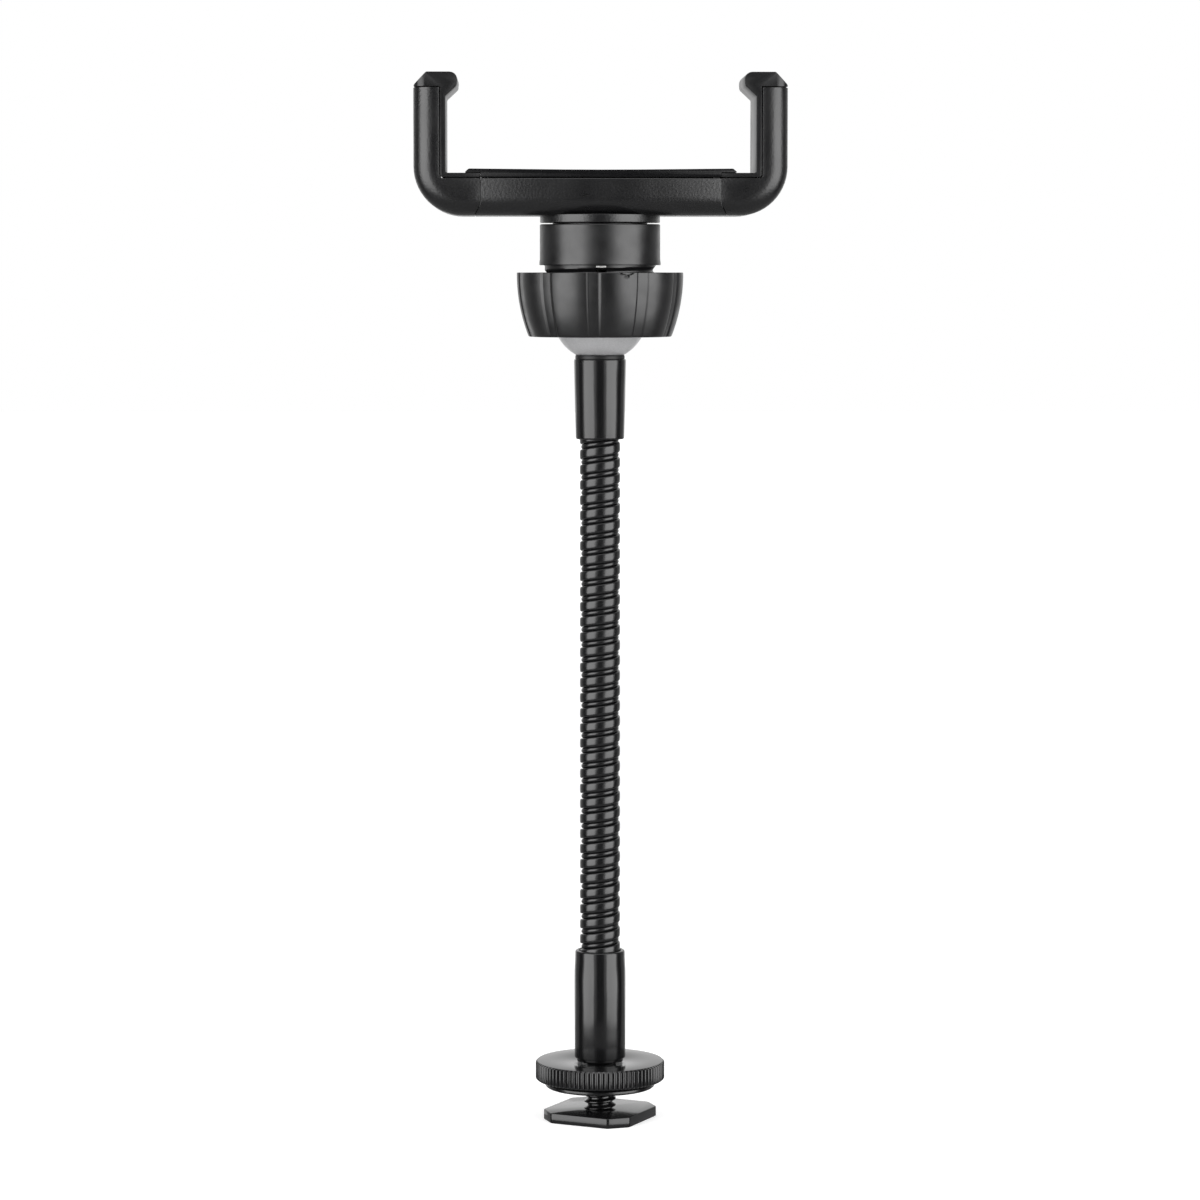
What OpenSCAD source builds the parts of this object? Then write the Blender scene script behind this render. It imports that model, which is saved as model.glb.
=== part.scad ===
// Phone clamp holder: a sprung two-jaw clamp on a ball head, a gooseneck and a cold-shoe foot.
// Millimetres, +Z up. The origin is the middle of the foot plate's underside.
// +X runs along the opening of the jaws, and -Y is the front.

/* [Shoe foot] */
// Side of the square foot plate
foot_side = 18.6; // [17:0.1:20]
// Thickness of the foot plate
foot_t = 2; // [1.4:0.1:2.4]
// Leg of the chamfer on the plate's four corners
foot_corner = 3.2; // [0.5:0.1:5]
// Turn of the plate about the neck's axis, in degrees
foot_turn = -27; // [-45:1:45]
// Outer diameter of the threaded stud
stud_d = 6.2; // [5:0.1:7]
// Advance of the stud's thread in one turn
stud_pitch = 1.27; // [0.8:0.01:1.75]
// Clear height that the shoe's rails slide into
rail_gap = 4.3; // [3:0.1:6]
// Diameter of the washer under the thumb nut
washer_d = 21.3; // [14:0.1:22]
// Thickness of that washer
washer_t = 1.3; // [0.6:0.05:2]

/* [Thumb nut] */
// Diameter over the knurls
nut_d = 25.1; // [20:0.05:30]
// Height of the thumb nut
nut_t = 3.7; // [2.5:0.1:6]
// Number of straight knurls
knurls = 82; // [40:1:100]
// Depth of a knurl
knurl_depth = 0.35; // [0.15:0.05:0.6]
// Height that the nut can rise before it meets the sleeve
nut_lift = 0.6; // [0.2:0.1:2]

/* [Gooseneck] */
// Diameter over the round wire
neck_d = 7.85; // [6:0.05:10]
// Diameter of the round wire
wire_d = 1.96; // [1.4:0.02:2.2]
// Advance of the coil in one turn
coil_pitch = 2.945; // [2.6:0.005:3.6]
// Length between the two sleeves
neck_free = 99.4; // [60:0.1:110]
// Length of neck held in each sleeve
neck_grip = 5; // [3:0.5:7]
// Depth of the wedge wire's flat below the round wire
wedge_sink = 0.22; // [0.1:0.01:0.5]

/* [Sleeves] */
// Diameter of both sleeves at their largest
sleeve_d = 10; // [9:0.1:13]
// Length of the lower sleeve
low_sleeve_l = 21.1; // [18:0.1:30]
// Radial depth that the lower sleeve is crimped in on the neck
crimp = 0.15; // [0:0.05:0.3]
// Length of stud held in the lower sleeve
stud_grip = 10; // [6:0.5:11]
// Length of the upper sleeve
top_sleeve_l = 15.4; // [15:0.1:24]
// Diameter of the upper sleeve's lower end
top_sleeve_low_d = 9.4; // [9:0.1:12]
// Thickness of the black ring under the ball
ring_t = 0.8; // [0.4:0.1:2]
// Depth of the ring's edge inside the sleeve's edge
ring_inset = 0.25; // [0:0.05:0.6]

/* [Ball head] */
// Diameter of the ball
ball_d = 18.5; // [16:0.1:20]
// Diameter of the ball's shank
shank_d = 6; // [5:0.1:7]
// Length of shank held in the upper sleeve
shank_grip = 8; // [5:0.5:8.5]
// Largest tilt of the clamp off the neck's axis, in degrees
tilt_max = 28; // [10:1:28]
// Thickness of the friction seat over the ball
seat_t = 1; // [0.6:0.1:1.4]
// Half angle that the friction seat covers, in degrees
seat_angle = 28; // [18:1:30]
// Wall of the socket's fingers at the ball's equator
finger_wall = 1.45; // [1:0.05:2.4]
// Reach of the fingers below the ball's centre
finger_reach = 2.9; // [2:0.1:3.2]
// Width of the four slots between the fingers
slot_w = 1.9; // [1:0.1:3]
// Width of the collar's step outside the fingers
collar_step = 0.8; // [0.4:0.05:2]
// Height of the collar
collar_h = 7.8; // [7.4:0.1:12]
// Gap seen between the collar and the clamp's disc
swivel_gap = 0.3; // [0.15:0.05:0.6]

/* [Lock nut] */
// Largest diameter of the lock nut
lock_d = 32; // [28:0.1:36]
// Height of the lock nut
lock_h = 12.3; // [10:0.1:13]
// Radius of the barrel's curve
barrel_r = 32.4; // [24:0.1:60]
// Number of grip lobes
lobes = 10; // [6:1:14]
// Width of the groove between two lobes
groove_w = 2.6; // [1.2:0.1:4]
// Depth of that groove
groove_depth = 0.5; // [0.2:0.1:1]
// Turn of the first groove off the front, in degrees
lock_turn = -4.5; // [-18:0.5:18]

/* [Clamp] */
// Depth of the clamp from front to back
clamp_w = 21; // [20:0.1:26]
// Height of the clamp's body below the pad
body_h = 7.05; // [6.8:0.05:9]
// Half length of the body, to its seam with a jaw
seam_x = 22.8; // [22:0.1:28]
// Radius of the long lower edges
edge_r = 3.6; // [1:0.1:3.6]
// Thickness of the body's floor
floor_t = 2; // [1.8:0.1:2.4]
// Wall at the front and back of the body
body_wall = 1.5; // [1.2:0.1:2]
// Thickness of the cover under the pad
cover_t = 1.2; // [1:0.1:1.5]
// Diameter of the disc that turns on the collar
disc_d = 23; // [20:0.1:24]
// Thickness of that disc
disc_t = 1.25; // [0.8:0.05:2]
// Thickness of the rubber pad
pad_t = 1.7; // [1.4:0.1:3]
// Reach of the pad's lips past the body's ends
pad_lip = 3.05; // [1:0.05:4]

/* [Jaws] */
// Outward travel of each jaw
jaw_travel = 12.5; // [6:0.5:12.5]
// Length of the rails that run inside the body
rail_l = 19.8; // [19.5:0.1:20]
// Width of one rail
rail_w = 3.4; // [2.4:0.1:3.6]
// Thickness of the upright arm
arm_t = 4.95; // [4.5:0.05:7]
// Height of the arm above the body
arm_rise = 17.1; // [12:0.1:30]
// Outer radius of the elbow
elbow_r = 9.3; // [8:0.1:10]
// Distance of the arm's inner face past the seam
arm_reach = 7.8; // [6.5:0.05:9]
// Thickness of the rubber liner
liner_t = 1.2; // [0.8:0.05:1.6]
// Thickness of the liner's floor strip
liner_floor_t = 1; // [0.6:0.1:1.2]
// Height of the liner's head above the arm
head_rise = 2.9; // [2:0.1:5]
// Run of the slope on the head's outer side
head_slope_run = 2.4; // [1:0.1:4]
// Overhang of the head inside the liner's face
head_lip = 2.1; // [1:0.1:3]
// Diameter of the return springs
spring_d = 2.6; // [2:0.1:2.7]
// Diameter of their wire
spring_wire = 0.4; // [0.3:0.05:0.5]
// Turns of each return spring
spring_turns = 14; // [8:1:18]

/* [Hidden] */
$fn = 64;

// Clearances
held_fit = 0.03;   // between pieces that are pressed, crimped or screwed together
run_fit = 0.08;    // radial, between pieces that turn or slide on each other
stack_gap = 0.12;  // between the flat faces of pieces that turn on each other
seam_gap = 0.15;   // between the body and a jaw at rest
slide_gap = 0.15;  // around the rails in the body
eps = 0.5;         // overrun of cuts

// Heights of the foot, the nut and the neck
washer_z = foot_t + rail_gap;
nut_z = washer_z + washer_t + stack_gap;
low_sleeve_z = nut_z + nut_t + nut_lift;
neck_z = low_sleeve_z + low_sleeve_l;
top_sleeve_z = neck_z + neck_free;
ring_z = top_sleeve_z + top_sleeve_l;
ball_base_z = ring_z + ring_t;

// Foot
foot_edge = 0.2;
stud_foot_sink = 0.25;
stud_r = stud_d / 2;
stud_top = low_sleeve_z + stud_grip;
nut_rim = 0.3;

// Gooseneck, both wires drawn with the same number of steps in a turn
neck_r = neck_d / 2;
wire_r = wire_d / 2;
coil_r = neck_r - wire_r;
steps_per_turn = 16;
wedge_out = neck_r - wedge_sink;
wedge_in = coil_r - 0.72 * wire_r;
wedge_half = 0.475 * coil_pitch - wire_r * 0.714;
neck_bore_r = neck_r + 2 * held_fit;
coil_low = neck_z - neck_grip + wire_r;
coil_high = top_sleeve_z + neck_grip - wire_r;
sleeve_edge = 0.35;

// Ball head, heights taken from the ball's centre
ball_r = ball_d / 2;
ring_r = sleeve_d / 2 - ring_inset;
ball_flat_r = ring_r - 0.1;
ball_z = ball_base_z + sqrt(pow(ball_r, 2) - pow(ball_flat_r, 2));
shank_r = shank_d / 2;
ball_bore_r = ball_r + held_fit + 0.02;
seat_in_r = ball_bore_r;
seat_out_r = seat_in_r + seat_t;
seat_bore_r = seat_out_r + 0.05;
seat_room_z = seat_in_r * cos(seat_angle + tilt_max) - 0.3;
finger_r = ball_r + finger_wall + 0.05;
tip_run = 2;
tip_r = sqrt(pow(ball_bore_r, 2) - pow(finger_reach, 2)) + 0.75;
collar_r = finger_r + collar_step;
collar_flare = 0.1;
collar_low = ball_r - 0.05;
collar_top = collar_low + collar_h;
collar_boss_r = collar_r - 2.45;
screw_room_r = 4.2;
socket_floor_t = 2.6;
screw_floor = collar_top - socket_floor_t;

// Lock nut, heights taken from the ball's centre
lock_top = 7.8;
lock_low = lock_top - lock_h;
lock_bore_r = finger_r + run_fit;
lock_mouth_r = sqrt(pow(ball_r, 2) - pow(lock_low, 2)) + 0.4;
lock_cone_top = -finger_reach + tip_run - 0.4;
lock_edge = 0.4;
barrel_steps = 9;
gate_r = 1.35;
gate_angle = 17.3;

// Clamp
disc_z = ball_z + collar_top + swivel_gap;
body_z = disc_z + disc_t;
body_top = body_z + body_h;
floor_z = body_z + floor_t;
cover_z = body_top - cover_t;
pocket_half = clamp_w / 2 - body_wall;
lug_w = 0.55;
lug_l = 2;
rail_out = pocket_half - slide_gap - lug_w;
rail_in = rail_out - rail_w;
rail_low = floor_z + slide_gap;
rail_high = cover_z - slide_gap;
rail_x = seam_x - rail_l;
stop_x = rail_x + lug_l + jaw_travel + slide_gap;
seam_slant = 1.1;
seam_slant_z = body_z + 2;
swivel_boss_r = 3.6;
boss_gap = 0.1;

// Screws
swivel_thread_r = 2;
swivel_head_r = 3.5;
swivel_head_h = 2.2;
swivel_washer_r = 3.9;
swivel_washer_t = 0.8;
hex_key = 2.5;
cover_screw_y = rail_in + rail_w / 2;
cover_thread_r = 1;
cover_head_r = 1.6;
cover_head_h = 0.8;
cover_boss_r = 2;

// Jaws
arm_in = seam_x + arm_reach;
arm_out = arm_in + arm_t;
arm_top = body_top + arm_rise;
elbow_x = arm_out - elbow_r;
elbow_z = body_z + elbow_r;
liner_w = clamp_w - 0.4;
liner_x = arm_in - liner_t;
head_top = arm_top + head_rise;
head_r = 1.3;
head_slope = 50;
web_t = 0.8;

// Return springs, each between a post in the body and a pin on its jaw
spring_r = (spring_d - spring_wire) / 2;
spring_z = rail_low + web_t + slide_gap + spring_d / 2;
pin_r = 0.5;
hook_seat = spring_r - spring_wire / 2 - pin_r - 0.05;
post_x = swivel_boss_r + pin_r + 0.6;
pin_x = seam_x - 3.3;
spring_low_x = post_x + hook_seat;
spring_high_x = pin_x - hook_seat;

function unit(v) = v / norm(v);

// Points of an arc about a centre, from one angle to another
function arc(centre, r, from, to, steps = 8) =
    [for (i = [0 : steps]) let (a = from + (to - from) * i / steps) centre + r * [cos(a), sin(a)]];

// Outline with its two low corners rounded, centred on the first axis
function tray(w, low, high, r) = concat(
    [[-w / 2, high]],
    arc([-w / 2 + r, low + r], r, 180, 270),
    arc([w / 2 - r, low + r], r, 270, 360),
    [[w / 2, high]]);

// A section carried along a path, kept upright by the normal given at each point
module swept(path, normals, section) {
    last = len(path) - 1;
    sides = len(section);
    along = [for (i = [0 : last]) unit(path[min(i + 1, last)] - path[max(i - 1, 0)])];
    up = [for (i = [0 : last]) unit(normals[i] - (normals[i] * along[i]) * along[i])];
    points = [for (i = [0 : last], s = section) path[i] + s.x * up[i] + s.y * cross(along[i], up[i])];
    walls = [for (i = [0 : last - 1], j = [0 : sides - 1])
        let (k = (j + 1) % sides, a = i * sides + j, b = i * sides + k)
        each [[a, a + sides, b + sides], [a, b + sides, b]]];
    ends = [[for (j = [0 : sides - 1]) j], [for (j = [sides - 1 : -1 : 0]) last * sides + j]];
    polyhedron(points = points, faces = concat(walls, ends), convexity = 10);
}

// A wire wound upwards about the neck's axis
module neck_wire(r, low, high, section) {
    steps = ceil((high - low) / coil_pitch * steps_per_turn);
    turn = 360 / steps_per_turn;
    rise = coil_pitch / steps_per_turn;
    radial = [for (i = [0 : steps]) [cos(i * turn), sin(i * turn), 0]];
    path = [for (i = [0 : steps]) r * radial[i] + [0, 0, low + i * rise]];
    swept(path, radial, section);
}

// A prism along X from a Y-Z outline
module along_x(from, to) {
    translate([from, 0, 0]) rotate([90, 0, 90]) linear_extrude(to - from) children();
}

// A prism along Y, centred, from an X-Z outline
module along_y(w) {
    rotate([90, 0, 0]) linear_extrude(w, center = true) children();
}

module foot_plate() {
    half = foot_side / 2;
    color([0.1, 0.1, 0.11]) rotate([0, 0, foot_turn]) difference() {
        linear_extrude(foot_t) polygon([for (q = [0 : 3])
            let (c = cos(90 * q), s = sin(90 * q))
            each [for (p = [[half, half - foot_corner], [half - foot_corner, half]])
                [p.x * c - p.y * s, p.x * s + p.y * c]]]);
        translate([0, 0, -eps]) cylinder(r = stud_r + held_fit, h = foot_t + 2 * eps);
        translate([0, 0, foot_t - foot_edge])
            cylinder(r1 = stud_r + held_fit, r2 = stud_r + held_fit + 2 * foot_edge, h = 2 * foot_edge);
    }
}

module stud() {
    chamfer = stud_pitch / 3;
    color([0.12, 0.12, 0.13]) rotate_extrude() polygon([[0, stud_foot_sink],
        [stud_r - chamfer, stud_foot_sink], [stud_r, stud_foot_sink + chamfer],
        [stud_r, stud_top - chamfer], [stud_r - chamfer, stud_top], [0, stud_top]]);
}

module nut_washer() {
    bore_r = stud_r + run_fit;
    edge = 0.15;
    color([0.08, 0.08, 0.08]) translate([0, 0, washer_z]) rotate_extrude() polygon([
        [bore_r, 0], [washer_d / 2 - edge, 0], [washer_d / 2, edge],
        [washer_d / 2, washer_t - edge], [washer_d / 2 - edge, washer_t], [bore_r, washer_t]]);
}

module thumb_nut() {
    root_r = nut_d / 2 - knurl_depth;
    color([0.09, 0.09, 0.1]) translate([0, 0, nut_z]) difference() {
        union() {
            rotate_extrude() polygon([[0, 0], [root_r - nut_rim, 0], [root_r, nut_rim],
                [root_r, nut_t - nut_rim], [root_r - nut_rim, nut_t], [0, nut_t]]);
            translate([0, 0, nut_rim]) linear_extrude(nut_t - 2 * nut_rim)
                polygon([for (i = [0 : 2 * knurls - 1])
                    let (r = nut_d / 2 - (i % 2) * 1.1 * knurl_depth, a = 180 * i / knurls)
                    r * [cos(a), sin(a)]]);
        }
        translate([0, 0, -eps]) cylinder(r = stud_r + run_fit, h = nut_t + 2 * eps);
    }
}

module lower_sleeve() {
    r = sleeve_d / 2;
    color([0.1, 0.1, 0.11]) translate([0, 0, low_sleeve_z]) difference() {
        rotate_extrude() polygon([[0, 0], [r - sleeve_edge, 0], [r, sleeve_edge],
            [r, low_sleeve_l - neck_grip], [r - crimp, low_sleeve_l - neck_grip / 2],
            [r - crimp, low_sleeve_l - sleeve_edge],
            [r - crimp - sleeve_edge, low_sleeve_l], [0, low_sleeve_l]]);
        translate([0, 0, -eps]) cylinder(r = stud_r + held_fit, h = stud_grip + eps + 2 * held_fit);
        translate([0, 0, low_sleeve_l - neck_grip - 2 * held_fit])
            cylinder(r = neck_bore_r, h = neck_grip + eps + 2 * held_fit);
    }
}

module neck_coil() {
    color([0.13, 0.13, 0.14]) neck_wire(coil_r, coil_low, coil_high,
        [for (a = [0 : 60 : 300]) wire_r * [cos(a), sin(a)]]);
}

module neck_wedge_wire() {
    color([0.2, 0.2, 0.21]) neck_wire(coil_r, coil_low + coil_pitch / 2, coil_high - coil_pitch / 2,
        [[wedge_out - coil_r, -wedge_half], [wedge_out - coil_r, wedge_half], [wedge_in - coil_r, 0]]);
}

module upper_sleeve() {
    low_r = top_sleeve_low_d / 2;
    top_r = sleeve_d / 2;
    color([0.1, 0.1, 0.11]) translate([0, 0, top_sleeve_z]) difference() {
        rotate_extrude() polygon([[0, 0], [low_r - sleeve_edge, 0], [low_r, sleeve_edge],
            [top_r, top_sleeve_l - sleeve_edge], [top_r - sleeve_edge, top_sleeve_l], [0, top_sleeve_l]]);
        translate([0, 0, -eps]) cylinder(r = neck_bore_r, h = neck_grip + eps + 2 * held_fit);
        translate([0, 0, top_sleeve_l - shank_grip - 2 * held_fit])
            cylinder(r = shank_r + held_fit, h = shank_grip + eps + 2 * held_fit);
    }
}

module neck_ring() {
    edge = min(0.2, ring_t / 3);
    color([0.04, 0.04, 0.04]) translate([0, 0, ring_z]) rotate_extrude() polygon([
        [shank_r + held_fit, 0], [ring_r, 0], [ring_r, ring_t - edge],
        [ring_r - edge, ring_t], [shank_r + held_fit, ring_t]]);
}

module ball() {
    color([0.72, 0.72, 0.71]) union() {
        difference() {
            translate([0, 0, ball_z]) sphere(r = ball_r);
            translate([0, 0, ball_base_z - ball_r]) cylinder(r = ball_r, h = ball_r);
        }
        translate([0, 0, ring_z - shank_grip])
            cylinder(r = shank_r, h = ball_base_z - ring_z + shank_grip + 1);
    }
}

module ball_seat() {
    rim = seat_out_r * 1.2;
    color([0.85, 0.84, 0.8]) translate([0, 0, ball_z]) intersection() {
        difference() {
            sphere(r = seat_out_r);
            sphere(r = seat_in_r);
        }
        cylinder(r1 = 0, r2 = rim * tan(seat_angle), h = rim);
    }
}

module socket() {
    boss = swivel_gap - 0.05;
    edge = 0.25;
    color([0.16, 0.16, 0.17]) translate([0, 0, ball_z]) difference() {
        rotate_extrude() polygon([[0, -finger_reach], [tip_r, -finger_reach],
            [finger_r, -finger_reach + tip_run], [finger_r, collar_low],
            [collar_r + collar_flare, collar_low], [collar_r + collar_flare, collar_low + 0.4],
            [collar_r, collar_low + 1.2], [collar_r, collar_top - edge], [collar_r - edge, collar_top],
            [collar_boss_r, collar_top], [collar_boss_r, collar_top + boss], [0, collar_top + boss]]);
        sphere(r = ball_bore_r);
        intersection() {
            sphere(r = seat_bore_r);
            translate([0, 0, seat_room_z]) cylinder(r = seat_bore_r, h = seat_bore_r);
        }
        cylinder(r = screw_room_r, h = screw_floor);
        cylinder(r = swivel_thread_r + run_fit, h = collar_top + 1);
        for (a = [0, 90]) rotate([0, 0, a])
            translate([-collar_r - eps, -slot_w / 2, -finger_reach - eps])
                cube([2 * collar_r + 2 * eps, slot_w, finger_reach + eps + collar_low]);
    }
}

// Barrel outline of the lock nut, let in by a depth
function barrel(depth) = [for (i = [0 : barrel_steps])
    let (z = lock_low + (lock_h - lock_edge) * i / barrel_steps)
    [lock_d / 2 - depth - barrel_r + sqrt(pow(barrel_r, 2) - pow(z - lock_top + lock_edge, 2)), z]];

module ball_lock_nut() {
    rim = [lock_d / 2 - lock_edge, lock_top];
    groove_angle = groove_w / (lock_d / 2) * 180 / PI;
    color([0.07, 0.07, 0.08]) translate([0, 0, ball_z]) difference() {
        rotate_extrude() polygon(concat([[lock_bore_r, lock_cone_top], [lock_mouth_r, lock_low]],
            barrel(0), [rim, [lock_bore_r, lock_top]]));
        for (i = [0 : lobes - 1])
            rotate([0, 0, -90 + lock_turn + i * 360 / lobes - groove_angle / 2])
                rotate_extrude(angle = groove_angle) polygon(concat(
                    [[lock_d, lock_low - eps], [barrel(groove_depth)[0].x, lock_low - eps]],
                    barrel(groove_depth),
                    [[rim.x - groove_depth, lock_top + eps], [lock_d, lock_top + eps]]));
        rotate([0, 0, -90 + gate_angle]) translate([lock_d / 2 - 0.45, 0, lock_top])
            rotate([0, 90, 0]) cylinder(r = gate_r, h = 2, $fn = 32);
    }
}

module swivel_washer() {
    color([0.6, 0.6, 0.6]) translate([0, 0, ball_z + screw_floor - swivel_washer_t - held_fit])
        difference() {
            cylinder(r = swivel_washer_r, h = swivel_washer_t);
            translate([0, 0, -eps])
                cylinder(r = swivel_thread_r + run_fit, h = swivel_washer_t + 2 * eps);
        }
}

module swivel_screw() {
    head_z = ball_z + screw_floor - swivel_washer_t - swivel_head_h - 2 * held_fit;
    color([0.55, 0.55, 0.56]) difference() {
        union() {
            translate([0, 0, head_z]) cylinder(r = swivel_head_r, h = swivel_head_h);
            translate([0, 0, head_z + swivel_head_h / 2])
                cylinder(r = swivel_thread_r, h = cover_z - boss_gap - 1 - head_z - swivel_head_h / 2);
        }
        translate([0, 0, head_z - eps]) cylinder(d = hex_key / cos(30), h = 1.3 + eps, $fn = 6);
    }
}

// Outline of the body seen from the front, with its slanted end seams
function body_outline() = [[-seam_x - seam_slant, body_z], [seam_x + seam_slant, body_z],
    [seam_x, seam_slant_z], [seam_x, body_top], [-seam_x, body_top], [-seam_x, seam_slant_z]];

module clamp_body() {
    reach = seam_x + seam_slant;
    room_h = cover_z - floor_z;
    color([0.13, 0.13, 0.14]) difference() {
        union() {
            difference() {
                intersection() {
                    along_x(-reach, reach) polygon(tray(clamp_w, body_z, body_top, edge_r));
                    along_y(clamp_w + 2) polygon(body_outline());
                }
                translate([-stop_x, -pocket_half, floor_z]) cube([2 * stop_x, 2 * pocket_half, room_h + eps]);
                translate([-reach - eps, -rail_out - slide_gap, floor_z])
                    cube([2 * (reach + eps), 2 * (rail_out + slide_gap), room_h + eps]);
                translate([-reach - eps, -pocket_half, cover_z])
                    cube([2 * (reach + eps), 2 * pocket_half, cover_t + eps]);
            }
            translate([0, 0, disc_z]) cylinder(d = disc_d, h = disc_t + edge_r / 4);
            translate([0, 0, body_z + eps])
                cylinder(r = swivel_boss_r, h = cover_z - boss_gap - body_z - eps);
            for (s = [-1, 1]) {
                translate([0, s * cover_screw_y, body_z + eps])
                    cylinder(r = cover_boss_r, h = cover_z - boss_gap / 2 - body_z - eps);
                translate([s * post_x, 0, body_z + eps])
                    cylinder(r = pin_r, h = cover_z - boss_gap - body_z - eps, $fn = 24);
            }
        }
        translate([0, 0, disc_z - eps])
            cylinder(r = swivel_thread_r + held_fit, h = cover_z - boss_gap - disc_z - 0.8 + eps);
        for (s = [-1, 1]) translate([0, s * cover_screw_y, floor_z])
            cylinder(r = cover_thread_r + held_fit, h = body_h);
    }
}

module body_cover() {
    color([0.14, 0.14, 0.15]) translate([0, 0, cover_z]) difference() {
        translate([-seam_x, -pocket_half + held_fit, 0])
            cube([2 * seam_x, 2 * (pocket_half - held_fit), cover_t]);
        for (s = [-1, 1]) translate([0, s * cover_screw_y, 0]) {
            translate([0, 0, -eps]) cylinder(r = cover_thread_r + run_fit, h = cover_t + 2 * eps);
            translate([0, 0, cover_t - cover_head_h - held_fit])
                cylinder(r = cover_head_r + run_fit, h = cover_head_h + eps);
        }
    }
}

module cover_screws() {
    length = 3.6;
    color([0.5, 0.5, 0.52]) for (s = [-1, 1])
        translate([0, s * cover_screw_y, body_top - cover_head_h]) difference() {
            union() {
                cylinder(r = cover_head_r, h = cover_head_h - held_fit);
                translate([0, 0, -length]) cylinder(r = cover_thread_r, h = length + cover_head_h / 2);
            }
            for (a = [45, 135]) rotate([0, 0, a])
                translate([-0.9, -0.2, cover_head_h / 2]) cube([1.8, 0.4, cover_head_h]);
        }
}

module centre_pad() {
    low = body_top + held_fit;
    top = body_top + pad_t;
    lip_low = body_top + liner_floor_t + held_fit + 0.05;
    end_x = seam_x + pad_lip;
    bevel = min(0.8, pad_t / 2);
    color([0.1, 0.1, 0.1]) along_y(liner_w) polygon([[-seam_x, low], [seam_x, low], [seam_x, lip_low],
        [end_x, lip_low], [end_x - bevel, top], [-end_x + bevel, top], [-end_x, lip_low],
        [-seam_x, lip_low]]);
}

module jaw() {
    elbow = concat([[0, -clamp_w / 2]],
        arc([elbow_r - edge_r, -clamp_w / 2 + edge_r], edge_r, -90, 0),
        arc([elbow_r - edge_r, clamp_w / 2 - edge_r], edge_r, 0, 90),
        [[0, clamp_w / 2]]);
    upright = concat([[arm_in, -clamp_w / 2]],
        arc([arm_out - edge_r, -clamp_w / 2 + edge_r], edge_r, -90, 0),
        arc([arm_out - edge_r, clamp_w / 2 - edge_r], edge_r, 0, 90),
        [[arm_in, clamp_w / 2]]);
    seam = seam_x + seam_gap;
    slant = (seam_slant_z - body_z) / seam_slant;
    color([0.14, 0.14, 0.15]) {
        difference() {
            union() {
                along_x(seam, elbow_x) polygon(tray(clamp_w, body_z, body_top, edge_r));
                translate([elbow_x, 0, elbow_z]) rotate([90, 0, 0]) rotate([0, 0, -90])
                    rotate_extrude(angle = 90) polygon(elbow);
                translate([0, 0, elbow_z]) linear_extrude(arm_top - elbow_z) polygon(upright);
                for (s = [-1, 1]) translate([rail_x, s > 0 ? rail_in : -rail_out, rail_low])
                    cube([rail_l + 1, rail_w, rail_high - rail_low]);
                for (s = [-1, 1]) translate([rail_x, s > 0 ? rail_out - eps : -rail_out - lug_w, rail_low])
                    cube([lug_l, lug_w + eps, rail_high - rail_low]);
                translate([pin_x - pin_r, -rail_in - eps, rail_low])
                    cube([seam - pin_x + pin_r + 1, 2 * (rail_in + eps), web_t]);
                translate([pin_x, 0, rail_low])
                    cylinder(r = pin_r, h = rail_high - rail_low, $fn = 24);
            }
            translate([elbow_x - eps, -clamp_w, body_top])
                cube([arm_in - elbow_x + eps, 2 * clamp_w, elbow_r]);
            along_y(clamp_w + 2) polygon([[seam - eps, seam_slant_z + eps * slant],
                [seam + seam_slant + eps / slant, body_z - eps], [seam - eps, body_z - eps]]);
        }
    }
}

module left_jaw() {
    mirror([1, 0, 0]) jaw();
}

module right_jaw() {
    jaw();
}

module liner() {
    low = body_top + held_fit;
    floor_top = body_top + liner_floor_t;
    back = arm_in - held_fit;
    tip = liner_x - head_lip;
    slope_z = arm_top + 0.8 - head_lip * tan(head_slope);
    color([0.12, 0.12, 0.12]) along_y(liner_w) polygon(concat(
        [[seam_x + seam_gap, low], [back, low], [back, arm_top + held_fit],
            [arm_out - 0.1, arm_top + held_fit], [arm_out - 0.1, arm_top + 0.3],
            [arm_out - 0.1 - head_slope_run, head_top]],
        arc([tip + head_r, head_top - head_r], head_r, 90, 180 + 90 - head_slope, 6),
        [[liner_x, slope_z], [liner_x, floor_top + 0.3], [liner_x - 0.3, floor_top],
            [seam_x + seam_gap, floor_top]]));
}

module left_liner() {
    mirror([1, 0, 0]) liner();
}

module right_liner() {
    liner();
}

// An extension spring with a half-loop hook at each end, lying along X
module return_spring() {
    steps = 8;
    count = spring_turns * steps;
    gap = spring_high_x - spring_low_x;
    hook_steps = 5;
    coil = [for (i = [0 : count]) [spring_low_x + gap * i / count, 90 + i * 360 / steps]];
    hook = [for (i = [hook_steps : -1 : 1]) i * 180 / hook_steps];
    function hook_out(a, x, dir) = [x - dir * spring_r * sin(a), spring_r * cos(a), 0];
    function hook_up(a, dir) = [-dir * sin(a), cos(a), 0];
    path = concat([for (a = hook) hook_out(a, spring_low_x, 1)],
        [for (c = coil) [c.x, spring_r * sin(c.y), -spring_r * cos(c.y)]],
        [for (i = [hook_steps - 1 : -1 : 0]) hook_out(hook[i], spring_high_x, -1)]);
    up = concat([for (a = hook) hook_up(a, 1)],
        [for (c = coil) [0, sin(c.y), -cos(c.y)]],
        [for (i = [hook_steps - 1 : -1 : 0]) hook_up(hook[i], -1)]);
    color([0.7, 0.7, 0.7]) translate([0, 0, spring_z])
        swept(path, up, [for (a = [45 : 90 : 315]) spring_wire / 2 * [cos(a), sin(a)]]);
}

module left_spring() {
    mirror([1, 0, 0]) return_spring();
}

module right_spring() {
    return_spring();
}

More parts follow.
